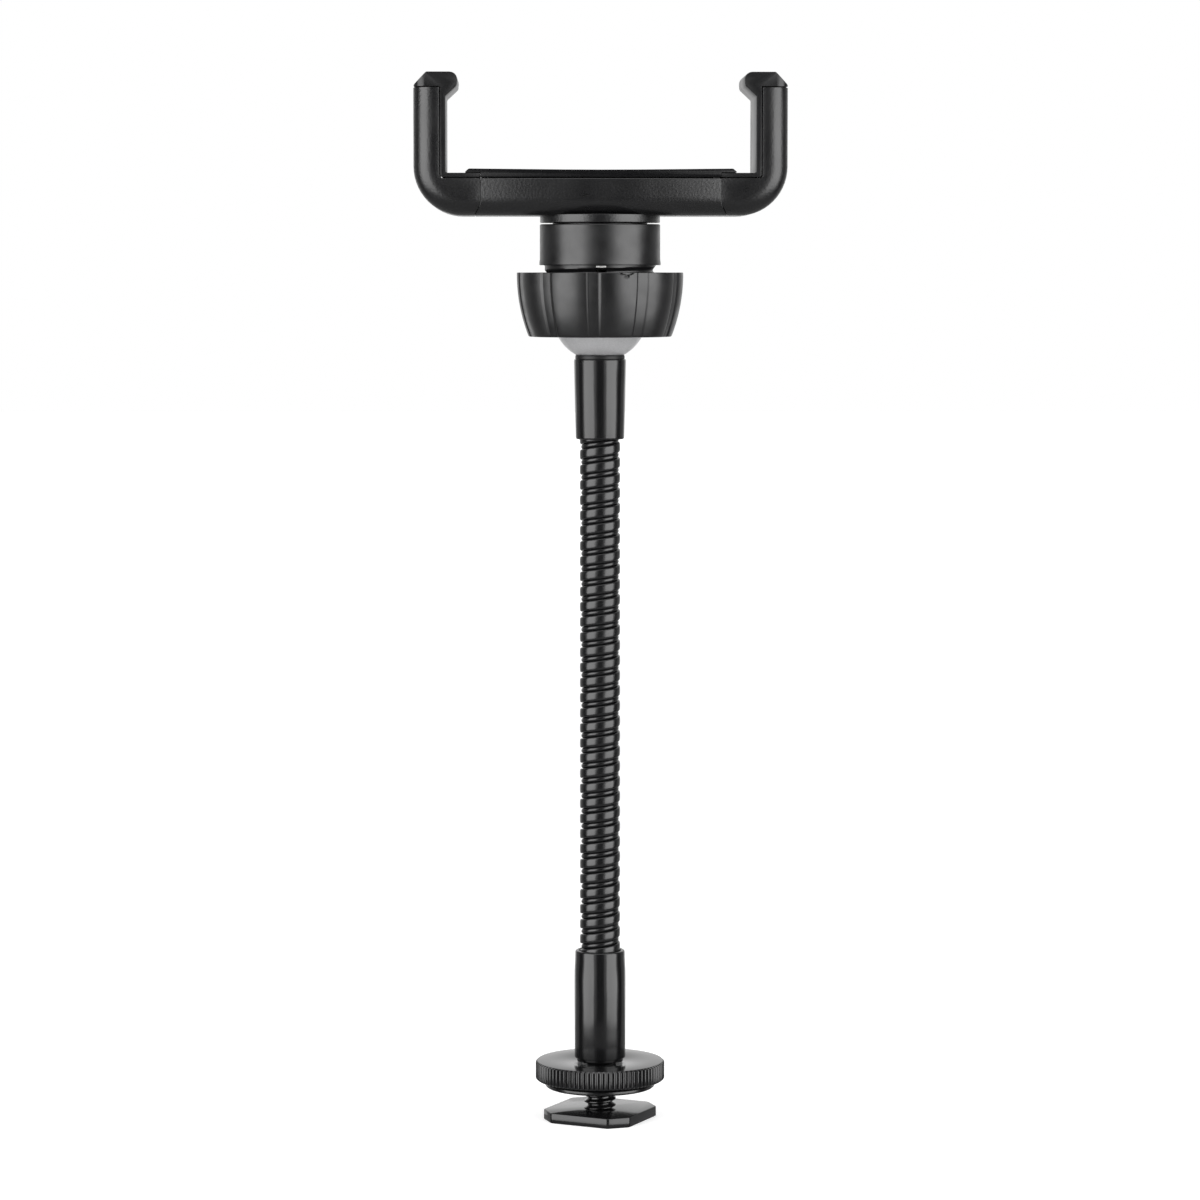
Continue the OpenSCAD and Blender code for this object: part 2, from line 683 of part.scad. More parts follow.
foot_plate();
stud();
nut_washer();
thumb_nut();
lower_sleeve();
neck_coil();
neck_wedge_wire();
upper_sleeve();
neck_ring();
ball();
ball_seat();
socket();
ball_lock_nut();
swivel_screw();
swivel_washer();
clamp_body();
body_cover();
cover_screws();
centre_pad();
left_jaw();
left_liner();
left_spring();
right_jaw();
right_liner();
right_spring();
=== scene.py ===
"""The looks of the phone clamp holder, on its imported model, seen as in the product photo.

Lengths in the classes are millimetres, in the part's own frame: +Z up, -Y the front.
"""

import logging
import math
from dataclasses import dataclass
from enum import Enum
from typing import Callable, Iterable, Sequence

import bmesh
import bpy
from mathutils import Matrix, Vector

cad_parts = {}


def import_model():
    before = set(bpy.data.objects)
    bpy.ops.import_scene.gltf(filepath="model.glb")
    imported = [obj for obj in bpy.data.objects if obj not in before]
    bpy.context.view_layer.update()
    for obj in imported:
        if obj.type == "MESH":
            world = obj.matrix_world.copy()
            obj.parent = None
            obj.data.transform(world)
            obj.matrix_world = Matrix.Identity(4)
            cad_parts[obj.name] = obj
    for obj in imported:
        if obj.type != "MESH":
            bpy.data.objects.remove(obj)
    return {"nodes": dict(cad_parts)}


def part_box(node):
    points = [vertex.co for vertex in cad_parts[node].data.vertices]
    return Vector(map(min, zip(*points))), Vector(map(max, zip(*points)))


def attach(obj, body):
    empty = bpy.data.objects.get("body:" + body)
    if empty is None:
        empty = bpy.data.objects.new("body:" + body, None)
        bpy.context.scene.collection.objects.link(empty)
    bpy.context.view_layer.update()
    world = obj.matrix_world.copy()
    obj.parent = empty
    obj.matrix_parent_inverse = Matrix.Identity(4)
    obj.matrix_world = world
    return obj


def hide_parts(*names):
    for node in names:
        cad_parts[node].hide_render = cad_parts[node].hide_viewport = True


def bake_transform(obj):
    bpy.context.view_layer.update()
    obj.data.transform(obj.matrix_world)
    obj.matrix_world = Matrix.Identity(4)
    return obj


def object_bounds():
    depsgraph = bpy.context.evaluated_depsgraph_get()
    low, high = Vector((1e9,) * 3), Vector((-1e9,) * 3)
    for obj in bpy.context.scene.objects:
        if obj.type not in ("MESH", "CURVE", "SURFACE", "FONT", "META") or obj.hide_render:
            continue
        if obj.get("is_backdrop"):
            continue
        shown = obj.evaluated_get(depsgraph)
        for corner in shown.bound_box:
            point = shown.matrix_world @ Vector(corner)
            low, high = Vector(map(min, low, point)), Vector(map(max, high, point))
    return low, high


MM = 0.001
FULL_TURN = math.tau
MERGE = 0.0005  # millimetres: points nearer than this are one point
TOUCH = 0.01  # millimetres: how near a point has to be to lie on a face
SHARP = 0.9  # radians: an edge that turns more than this is a corner
NOISE_SPAN = (0.3, 0.7)  # where nearly all of a noise texture's values lie
SWAY_DETAIL, PATCH_DETAIL, GRAIN_DETAIL = 1.0, 3.0, 4.0

log = logging.getLogger("phone_clamp_holder")

# A corner of an outline: its two coordinates and the radius that rounds it.
Corner = tuple[float, float, float]
Edges = list[bmesh.types.BMEdge]

# A thread's outline over one turn: 0 at the root and 1 at the crest, and the share of the turn.
THREAD_TURN = ((0, 0.0), (0, 0.12), (1, 0.46), (1, 0.58), (0, 0.92), (0, 1.0))


class Side(Enum):
    """The two jaws, by the sign of their X."""

    LEFT = -1
    RIGHT = 1

    @property
    def word(self) -> str:
        """The side's name as the model's nodes use it."""
        return self.name.lower()


class Marking(Enum):
    """What the way of making leaves on a surface."""

    SMOOTH = "smooth"
    TURNED = "turned"


@dataclass(frozen=True)
class Finish:
    """One surface finish, built from procedural textures in Object coordinates.

    Grain, patch and sway_span are the sizes of its fine, broad and slow unevenness, and relief
    and sway the depths of the fine and the slow one, all in millimetres. Spread is how far the
    roughness goes up and down, and tint the share by which the colour does.
    """

    name: str
    slot: str
    colour: tuple[float, float, float]
    roughness: float
    spread: float = 0.06
    metallic: float = 0.0
    ior: float = 1.5
    marking: Marking = Marking.SMOOTH
    grain: float = 0.4
    relief: float = 0.004
    patch: float = 6.0
    tint: float = 0.08
    sway: float = 0.0
    sway_span: float = 9.0

    def material(self) -> bpy.types.Material:
        """Makes this finish's material, at its first use.

        Returns:
            The material.
        """
        found = bpy.data.materials.get(self.name)
        if found:
            return found
        made = bpy.data.materials.new(self.name)
        made.use_nodes = True
        tree = made.node_tree
        shader = tree.nodes["Principled BSDF"]
        shader.inputs["Metallic"].default_value = self.metallic
        shader.inputs["IOR"].default_value = self.ior
        place = tree.nodes.new("ShaderNodeTexCoord").outputs["Object"]
        slow = None
        if self.sway:
            waves = self._noise(tree, place, self.sway_span, SWAY_DETAIL)
            slow = self._bump(tree, waves, self.sway)
        if self.marking is Marking.TURNED:
            place = self._turned(tree, place)
        patches = self._noise(tree, place, self.patch, PATCH_DETAIL)
        fine = self._noise(tree, place, self.grain, GRAIN_DETAIL)
        rough = self._ranged(tree, patches, self.roughness - self.spread,
                             self.roughness + self.spread)
        tree.links.new(rough, shader.inputs["Roughness"])
        mix = tree.nodes.new("ShaderNodeMix")
        mix.data_type = "RGBA"
        mix.inputs["A"].default_value = (*(c * (1 - self.tint) for c in self.colour), 1)
        mix.inputs["B"].default_value = (*(c * (1 + self.tint) for c in self.colour), 1)
        tree.links.new(fine, mix.inputs["Factor"])
        tree.links.new(mix.outputs["Result"], shader.inputs["Base Color"])
        bump = self._bump(tree, fine, self.relief)
        if slow:
            tree.links.new(slow.outputs["Normal"], bump.inputs["Normal"])
        tree.links.new(bump.outputs["Normal"], shader.inputs["Normal"])
        return made

    @staticmethod
    def _bump(tree: bpy.types.NodeTree, height: bpy.types.NodeSocket,
              relief: float) -> bpy.types.Node:
        """Adds a bump.

        Args:
            tree: the material's node tree.
            height: the value that stands for height.
            relief: the depth, in millimetres, that it runs over.

        Returns:
            The bump node.
        """
        bump = tree.nodes.new("ShaderNodeBump")
        bump.inputs["Distance"].default_value = relief * MM
        tree.links.new(height, bump.inputs["Height"])
        return bump

    @staticmethod
    def _turned(tree: bpy.types.NodeTree, place: bpy.types.NodeSocket) -> bpy.types.NodeSocket:
        """Makes a place that runs only along radius and height, for marks in rings.

        Args:
            tree: the material's node tree.
            place: the place in Object coordinates.

        Returns:
            The new place.
        """
        parts = tree.nodes.new("ShaderNodeSeparateXYZ")
        tree.links.new(place, parts.inputs[0])
        flat = tree.nodes.new("ShaderNodeCombineXYZ")
        tree.links.new(parts.outputs["X"], flat.inputs["X"])
        tree.links.new(parts.outputs["Y"], flat.inputs["Y"])
        radius = tree.nodes.new("ShaderNodeVectorMath")
        radius.operation = "LENGTH"
        tree.links.new(flat.outputs[0], radius.inputs[0])
        rings = tree.nodes.new("ShaderNodeCombineXYZ")
        tree.links.new(radius.outputs["Value"], rings.inputs["X"])
        tree.links.new(parts.outputs["Z"], rings.inputs["Z"])
        return rings.outputs[0]

    @staticmethod
    def _noise(tree: bpy.types.NodeTree, place: bpy.types.NodeSocket, span: float,
               detail: float) -> bpy.types.NodeSocket:
        """Adds a noise texture.

        Args:
            tree: the material's node tree.
            place: where the texture is read.
            span: the size of its spots, in millimetres.
            detail: how many finer layers it has.

        Returns:
            The noise's value.
        """
        noise = tree.nodes.new("ShaderNodeTexNoise")
        noise.inputs["Scale"].default_value = 1 / (span * MM)
        noise.inputs["Detail"].default_value = detail
        tree.links.new(place, noise.inputs["Vector"])
        return noise.outputs["Fac"]

    @staticmethod
    def _ranged(tree: bpy.types.NodeTree, value: bpy.types.NodeSocket, low: float,
                high: float) -> bpy.types.NodeSocket:
        """Spreads a noise over a range.

        Args:
            tree: the material's node tree.
            value: the noise.
            low: where the range starts.
            high: where it ends.

        Returns:
            The spread value.
        """
        spread = tree.nodes.new("ShaderNodeMapRange")
        spread.inputs["From Min"].default_value = NOISE_SPAN[0]
        spread.inputs["From Max"].default_value = NOISE_SPAN[1]
        spread.inputs["To Min"].default_value = low
        spread.inputs["To Max"].default_value = high
        tree.links.new(value, spread.inputs["Value"])
        return spread.outputs["Result"]


PLATED = Finish("black_plating", "black_metal", (0.007, 0.007, 0.0075), 0.17, 0.03, ior=1.49,
                marking=Marking.TURNED, grain=0.25, relief=0.0012, sway=0.3)
PLATED_FLAT = Finish("black_plating_flat", "black_metal", (0.008, 0.008, 0.0085), 0.13, 0.03,
                     ior=1.46, grain=0.3, relief=0.0006)
WIRE = Finish("spring_wire_black", "neck_wire", (0.008, 0.008, 0.0085), 0.22, 0.04, ior=1.52,
              grain=0.5, relief=0.003)
ZINC = Finish("cast_zinc", "satin_zinc", (0.63, 0.63, 0.64), 0.38, 0.1, metallic=0.6,
              grain=0.35, relief=0.01, patch=1.6, tint=0.16, sway=0.12, sway_span=2.2)
NYLON = Finish("seat_nylon", "white_nylon", (0.86, 0.86, 0.84), 0.45)
GLOSS = Finish("gloss_black_plastic", "gloss_black", (0.007, 0.007, 0.0075), 0.34, 0.06,
               ior=1.53, grain=1.5, relief=0.004, patch=3.0, sway=0.16, sway_span=6.0)
MATTE = Finish("matte_black_plastic", "matte_black", (0.006, 0.006, 0.0065), 0.3, 0.04,
               ior=1.55, grain=0.5, relief=0.035, tint=0.3)
RUBBER = Finish("moulded_rubber", "black_rubber", (0.007, 0.007, 0.0075), 0.33, 0.04,
                ior=1.45, grain=0.5, relief=0.006, tint=0.12)
SOFT_RUBBER = Finish("soft_black_rubber", "black_rubber", (0.005, 0.005, 0.0055), 0.45, 0.05,
                     ior=1.42, grain=0.6, relief=0.02, tint=0.3)
PAD_RUBBER = Finish("pad_rubber", "black_rubber", (0.005, 0.005, 0.0055), 0.22, 0.05,
                    ior=1.4, grain=0.6, relief=0.012, tint=0.3)
GLOSS_RUBBER = Finish("smooth_black_rubber", "black_rubber", (0.009, 0.009, 0.0095), 0.2, 0.05,
                      grain=0.8, relief=0.004)
STEEL = Finish("bright_zinc_steel", "bright_steel", (0.6, 0.6, 0.62), 0.28, 0.05, metallic=1.0)


class Shaper:
    """One piece while it is shaped, in millimetres."""

    def __init__(self, rise: float = 0.0) -> None:
        """rise lifts the finished piece, so that its heights can start at its own origin."""
        self.bm = bmesh.new()
        self.rise = rise

    def outline(self, corners: Sequence[Corner], place: Callable[[float, float], Vector],
                segments: int = 4) -> bmesh.types.BMFace:
        """Adds a flat face with rounded corners.

        Args:
            corners: each corner's two coordinates and its radius.
            place: gives the point in space of two coordinates.
            segments: flats along each rounded corner.

        Returns:
            The face.
        """
        points = [place(u, v) for u, v, _ in corners]
        verts = [self.bm.verts.new(p) for p in points]
        face = self.bm.faces.new(verts)
        for i, (_, _, radius) in enumerate(corners):
            if radius <= 0:
                continue
            to_last = (points[i - 1] - points[i]).normalized()
            to_next = (points[(i + 1) % len(points)] - points[i]).normalized()
            half = to_last.angle(to_next) / 2
            bmesh.ops.bevel(self.bm, geom=[verts[i]], offset=radius / math.tan(half),
                            offset_type="OFFSET", segments=segments, profile=0.5,
                            affect="VERTICES", material=-1)
        self.bm.faces.ensure_lookup_table()
        return self.bm.faces[-1] if not face.is_valid else face

    def turn(self, corners: Sequence[Corner], steps: int = 96, segments: int = 4) -> "Shaper":
        """Turns a rounded outline about the vertical axis.

        Args:
            corners: each corner's radius, height and rounding.
            steps: flats round the full turn.
            segments: flats along each rounded corner.

        Returns:
            This shape.
        """
        before = set(self.bm.verts)
        self.outline(corners, lambda r, z: Vector((r, 0, z)), segments)
        fresh = [v for v in self.bm.verts if v not in before]
        faces = list({f for v in fresh for f in v.link_faces})
        edges = list({e for v in fresh for e in v.link_edges})
        bmesh.ops.delete(self.bm, geom=faces, context="FACES_ONLY")
        bmesh.ops.spin(self.bm, geom=fresh + edges, cent=(0, 0, 0), axis=(0, 0, 1),
                       dvec=(0, 0, 0), angle=FULL_TURN, steps=steps, use_merge=True,
                       use_duplicate=False)
        return self.clean()

    def sweep_helix(self, turns: float, pitch: float, steps: int) -> "Shaper":
        """Sweeps every face so far along a right-handed helix about the vertical axis.

        Args:
            turns: how many times it goes round.
            pitch: its rise in one turn.
            steps: flats in one turn.

        Returns:
            This shape.
        """
        count = round(turns * steps)
        geom = list(self.bm.verts) + list(self.bm.edges) + list(self.bm.faces)
        bmesh.ops.spin(self.bm, geom=geom, cent=(0, 0, 0), axis=(0, 0, 1),
                       dvec=(0, 0, pitch / steps), angle=count * FULL_TURN / steps,
                       steps=count, use_merge=False, use_duplicate=False)
        return self.clean()

    def extrude(self, face: bmesh.types.BMFace, way: Vector) -> "Shaper":
        """Pulls a face into a closed solid.

        Args:
            face: the face, which stays as the solid's near end.
            way: how far and where to it goes.

        Returns:
            This shape.
        """
        grown = bmesh.ops.extrude_face_region(self.bm, geom=[face], use_keep_orig=True)
        verts = [g for g in grown["geom"] if isinstance(g, bmesh.types.BMVert)]
        bmesh.ops.translate(self.bm, verts=verts, vec=way)
        return self.clean()

    def box(self, low: Sequence[float], high: Sequence[float], round_off: float = 0.0) -> "Shaper":
        """Adds a box.

        Args:
            low: its corner with the lowest coordinates.
            high: the corner opposite.
            round_off: the radius of its edges.

        Returns:
            This shape.
        """
        size = Vector(high) - Vector(low)
        middle = (Vector(high) + Vector(low)) / 2
        place = Matrix.Translation(middle) @ Matrix.Diagonal((*size, 1))
        made = bmesh.ops.create_cube(self.bm, size=1.0, matrix=place)
        if round_off > 0:
            edges = list({e for v in made["verts"] for e in v.link_edges})
            bmesh.ops.bevel(self.bm, geom=edges, offset=round_off, segments=2, profile=0.5,
                            affect="EDGES", material=-1)
        return self

    def round_edges(self, chosen: Iterable[bmesh.types.BMEdge], radius: float,
                    segments: int = 3, clamp: bool = True) -> "Shaper":
        """Rounds edges.

        Args:
            chosen: the edges.
            radius: their rounding.
            segments: flats across each rounding.
            clamp: whether neighbouring roundings are kept from crossing.

        Returns:
            This shape.
        """
        bmesh.ops.bevel(self.bm, geom=list(chosen), offset=radius, offset_type="OFFSET",
                        segments=segments, profile=0.5, affect="EDGES", material=-1,
                        clamp_overlap=clamp)
        return self.clean()

    def sharp_edges(self, wanted: Callable[[Vector], bool] = lambda at: True) -> Edges:
        """Finds the shape's sharp edges.

        Args:
            wanted: tells of a point whether an edge may end there.

        Returns:
            Those edges with both ends wanted.
        """
        return [e for e in self.bm.edges if len(e.link_faces) == 2
                and all(wanted(v.co) for v in e.verts) and e.calc_face_angle() > SHARP]

    def side_edges(self, half: float) -> Edges:
        """Finds the sharp edges round the two flat sides.

        Args:
            half: the sides' distance from the middle, along Y.

        Returns:
            The edges round both.
        """
        return [e for e in self.sharp_edges(lambda at: abs(abs(at.y) - half) < TOUCH)
                if e.verts[0].co.y * e.verts[1].co.y > 0]

    def cut(self, at: Sequence[float], away: Sequence[float]) -> "Shaper":
        """Cuts off what lies beyond a plane, and closes the cut.

        Args:
            at: a point of the plane.
            away: the way out of it, to the side that goes.

        Returns:
            This shape.
        """
        side = Vector(away).normalized()
        geom = list(self.bm.verts) + list(self.bm.edges) + list(self.bm.faces)
        bmesh.ops.bisect_plane(self.bm, geom=geom, dist=1e-5, plane_co=at, plane_no=side,
                               clear_outer=True)
        rim = [e for e in self.bm.edges if e.is_boundary
               and all(abs((v.co - Vector(at)).dot(side)) < 1e-3 for v in e.verts)]
        bmesh.ops.holes_fill(self.bm, edges=rim, sides=0)
        return self.clean()

    def clean(self) -> "Shaper":
        """Merges doubles and faces everything outward.

        Returns:
            This shape.
        """
        bmesh.ops.remove_doubles(self.bm, verts=list(self.bm.verts), dist=MERGE)
        bmesh.ops.recalc_face_normals(self.bm, faces=list(self.bm.faces))
        return self

    def take(self, other: "Shaper") -> "Shaper":
        """Adds another shape's geometry to this one.

        Args:
            other: the other shape, which is used up.

        Returns:
            This shape.
        """
        mesh = bpy.data.meshes.new("passing")
        other.bm.to_mesh(mesh)
        other.bm.free()
        self.bm.from_mesh(mesh)
        bpy.data.meshes.remove(mesh)
        return self.clean()

    def piece(self, name: str, body: str, finish: Finish, replaces: Sequence[str] = (),
              crease: float = 34.0) -> bpy.types.Object:
        """Ends the shaping.

        Args:
            name: the piece's name.
            body: the body that it rides on.
            finish: its surface.
            replaces: the model's nodes that it stands for.
            crease: the edge angle, in degrees, above which the shading breaks.

        Returns:
            The new object, in metres.
        """
        made = self.loose(name, finish, crease)
        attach(made, body)
        if replaces:
            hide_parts(*replaces)
        return made

    def loose(self, name: str, finish: Finish, crease: float) -> bpy.types.Object:
        """Makes the shape an object that rides on nothing yet.

        Args:
            name: the piece's name.
            finish: its surface.
            crease: the edge angle, in degrees, above which the shading breaks.

        Returns:
            The new object, in metres.
        """
        bmesh.ops.translate(self.bm, verts=list(self.bm.verts), vec=(0, 0, self.rise))
        bmesh.ops.scale(self.bm, vec=(MM, MM, MM), verts=list(self.bm.verts))
        for face in self.bm.faces:
            face.smooth = True
        for edge in self.bm.edges:
            if len(edge.link_faces) == 2:
                edge.smooth = edge.calc_face_angle() < math.radians(crease)
        mesh = bpy.data.meshes.new(name)
        self.bm.to_mesh(mesh)
        self.bm.free()
        mesh.materials.append(finish.material())
        made = bpy.data.objects.new(name, mesh)
        bpy.context.scene.collection.objects.link(made)
        log.info("%s: %d faces", name, len(mesh.polygons))
        return made


def bending(shape: Shaper, name: str, finish: Finish,
            replaces: Sequence[str]) -> bpy.types.Object:
    """Ends the shaping of a piece that bends or stretches between two bodies.

    Args:
        shape: the shape.
        name: the piece's name.
        finish: its surface.
        replaces: the model's nodes that it stands for.

    Returns:
        The new object, in metres.
    """
    crease = 40.0
    made = shape.loose(name, finish, crease)
    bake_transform(made)
    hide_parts(*replaces)
    return made


@dataclass
class ShoeFoot:
    """The foot plate and the threaded stud in it."""

    side: float = 18.6
    thickness: float = 2.0
    corner: float = 3.2  # cut off along each side
    corner_r: float = 0.9
    edge_r: float = 0.22
    turned: float = -27.0  # degrees about the stud, as it lies in the photo
    stud_r: float = 3.1
    root_r: float = 2.4
    pitch: float = 1.27
    stud_low: float = 0.25
    stud_top: float = 22.32
    clearance: float = 0.1  # of the stud's plain foot in the plate
    steps: int = 64

    def build(self) -> None:
        """Builds the plate and the stud."""
        self._plate()
        self._stud()

    def _plate(self) -> None:
        """Builds the square plate with its cut corners."""
        half, cut = self.side / 2, self.corner
        near = half - cut
        ring = [(near, -half), (half, -near), (half, near), (near, half),
                (-near, half), (-half, near), (-half, -near), (-near, -half)]
        shape = Shaper()
        face = shape.outline([(x, y, self.corner_r) for x, y in ring],
                             lambda x, y: Vector((x, y, 0)))
        shape.extrude(face, Vector((0, 0, self.thickness)))
        rims = [e for e in shape.sharp_edges() if abs(e.verts[0].co.z - e.verts[1].co.z) < TOUCH]
        shape.round_edges(rims, self.edge_r)
        bmesh.ops.rotate(shape.bm, verts=list(shape.bm.verts), cent=(0, 0, 0),
                         matrix=Matrix.Rotation(math.radians(self.turned), 3, "Z"))
        shape.piece("shoe_plate", "base", PLATED_FLAT, ["foot_plate"])

    def _stud(self) -> None:
        """Builds the stud: its plain foot in the plate, and the thread above it."""
        shape = Shaper()
        thread(shape, self.root_r, self.stud_r, self.pitch, self.thickness, self.stud_top)
        radius, top = self.stud_r - self.clearance, self.thickness - self.clearance
        shape.turn([(0, self.stud_low, 0), (radius, self.stud_low, 0.1), (radius, top, 0),
                    (0, top, 0)], self.steps)
        shape.piece("threaded_stud", "base", PLATED, ["stud"])


def thread(shape: Shaper, root: float, crest: float, pitch: float, low: float, high: float,
           steps: int = 48) -> None:
    """Adds a screw thread, trimmed flat at both ends, as a closed solid.

    Args:
        shape: what it is added to.
        root: the radius at the bottom of the thread.
        crest: the radius at its top.
        pitch: its rise in one turn.
        low: where it starts.
        high: where it ends.
        steps: flats in one turn.
    """
    screw = Shaper()
    bm = screw.bm
    verts = [bm.verts.new((crest if at_crest else root, 0, low - pitch + share * pitch))
             for at_crest, share in THREAD_TURN]
    edges = [bm.edges.new(pair) for pair in zip(verts, verts[1:])]
    turns = math.ceil((high - low) / pitch) + 1
    bmesh.ops.spin(bm, geom=verts + edges, cent=(0, 0, 0), axis=(0, 0, 1),
                   dvec=(0, 0, pitch / steps), angle=FULL_TURN * turns, steps=steps * turns,
                   use_merge=False, use_duplicate=False)
    bmesh.ops.remove_doubles(bm, verts=list(bm.verts), dist=2 * MERGE)
    screw.cut((0, 0, low), (0, 0, -1)).cut((0, 0, high), (0, 0, 1))
    shape.take(screw)


@dataclass
class ThumbNut:
    """The knurled nut and the washer under it."""

    outer_r: float = 12.55
    low: float = 7.72
    high: float = 11.42
    bore_r: float = 3.16
    recess_r: float = 4.45
    recess: float = 0.62
    knurls: int = 82
    knurl_steps: int = 8
    depth: float = 0.35
    fade: float = 0.3  # how far in from the outside the knurls run out
    chamfer: float = 0.35
    rim: float = 0.3
    washer_r: float = 10.65
    washer_bore_r: float = 3.3
    washer_low: float = 6.3
    washer_high: float = 7.6
    washer_taper: float = 0.3
    washer_edge: tuple[float, float] = (0.25, 0.75)  # its upright rim, from and to
    dish: tuple[float, float] = (0.9, 1.6)  # where its slope bends and ends, from the edge in
    dish_drop: float = 0.15

    def build(self) -> None:
        """Builds the nut and its washer."""
        self._nut()
        self._washer()

    def _nut(self) -> None:
        """Turns the nut and presses its knurls in."""
        shape = Shaper()
        shoulder, floor = self.outer_r - self.chamfer, self.high - self.recess
        shape.turn([(self.bore_r, self.low, 0.1), (shoulder, self.low, 0.1),
                    (self.outer_r, self.low + self.rim, 0.1),
                    (self.outer_r, self.high - self.rim, 0.1),
                    (shoulder, self.high, 0.12), (self.recess_r, self.high, 0.05),
                    (self.recess_r, floor, 0), (self.bore_r, floor, 0)],
                   self.knurls * self.knurl_steps, 2)
        cut = [1 - math.sin(math.pi * i / self.knurl_steps) for i in range(self.knurl_steps)]
        for vert in shape.bm.verts:
            radius = math.hypot(vert.co.x, vert.co.y)
            share = min(1.0, max(0.0, (radius - self.outer_r + self.fade) / self.fade))
            turned = math.atan2(vert.co.y, vert.co.x) / FULL_TURN
            place = round(turned * self.knurls * self.knurl_steps)
            vert.co.xy *= 1 - share * cut[place % self.knurl_steps] * self.depth / radius
        shape.clean().piece("knurled_nut", "clamp_nut", PLATED_FLAT, ["thumb_nut"], crease=50)

    def _washer(self) -> None:
        """Turns the dished washer."""
        shape = Shaper()
        bore, edge, low, top = self.washer_bore_r, self.washer_r, self.washer_low, self.washer_high
        foot, lip = self.washer_edge
        shape.turn([(bore, low, 0.1), (edge - self.washer_taper, low, 0.1),
                    (edge, low + foot, 0.1), (edge, low + lip, 0.12),
                    (edge - self.dish[0], top - self.dish_drop, 0.3),
                    (edge - self.dish[1], top, 0.2), (bore, top, 0.1)])
        shape.piece("dished_washer", "washer", GLOSS_RUBBER, ["nut_washer"])


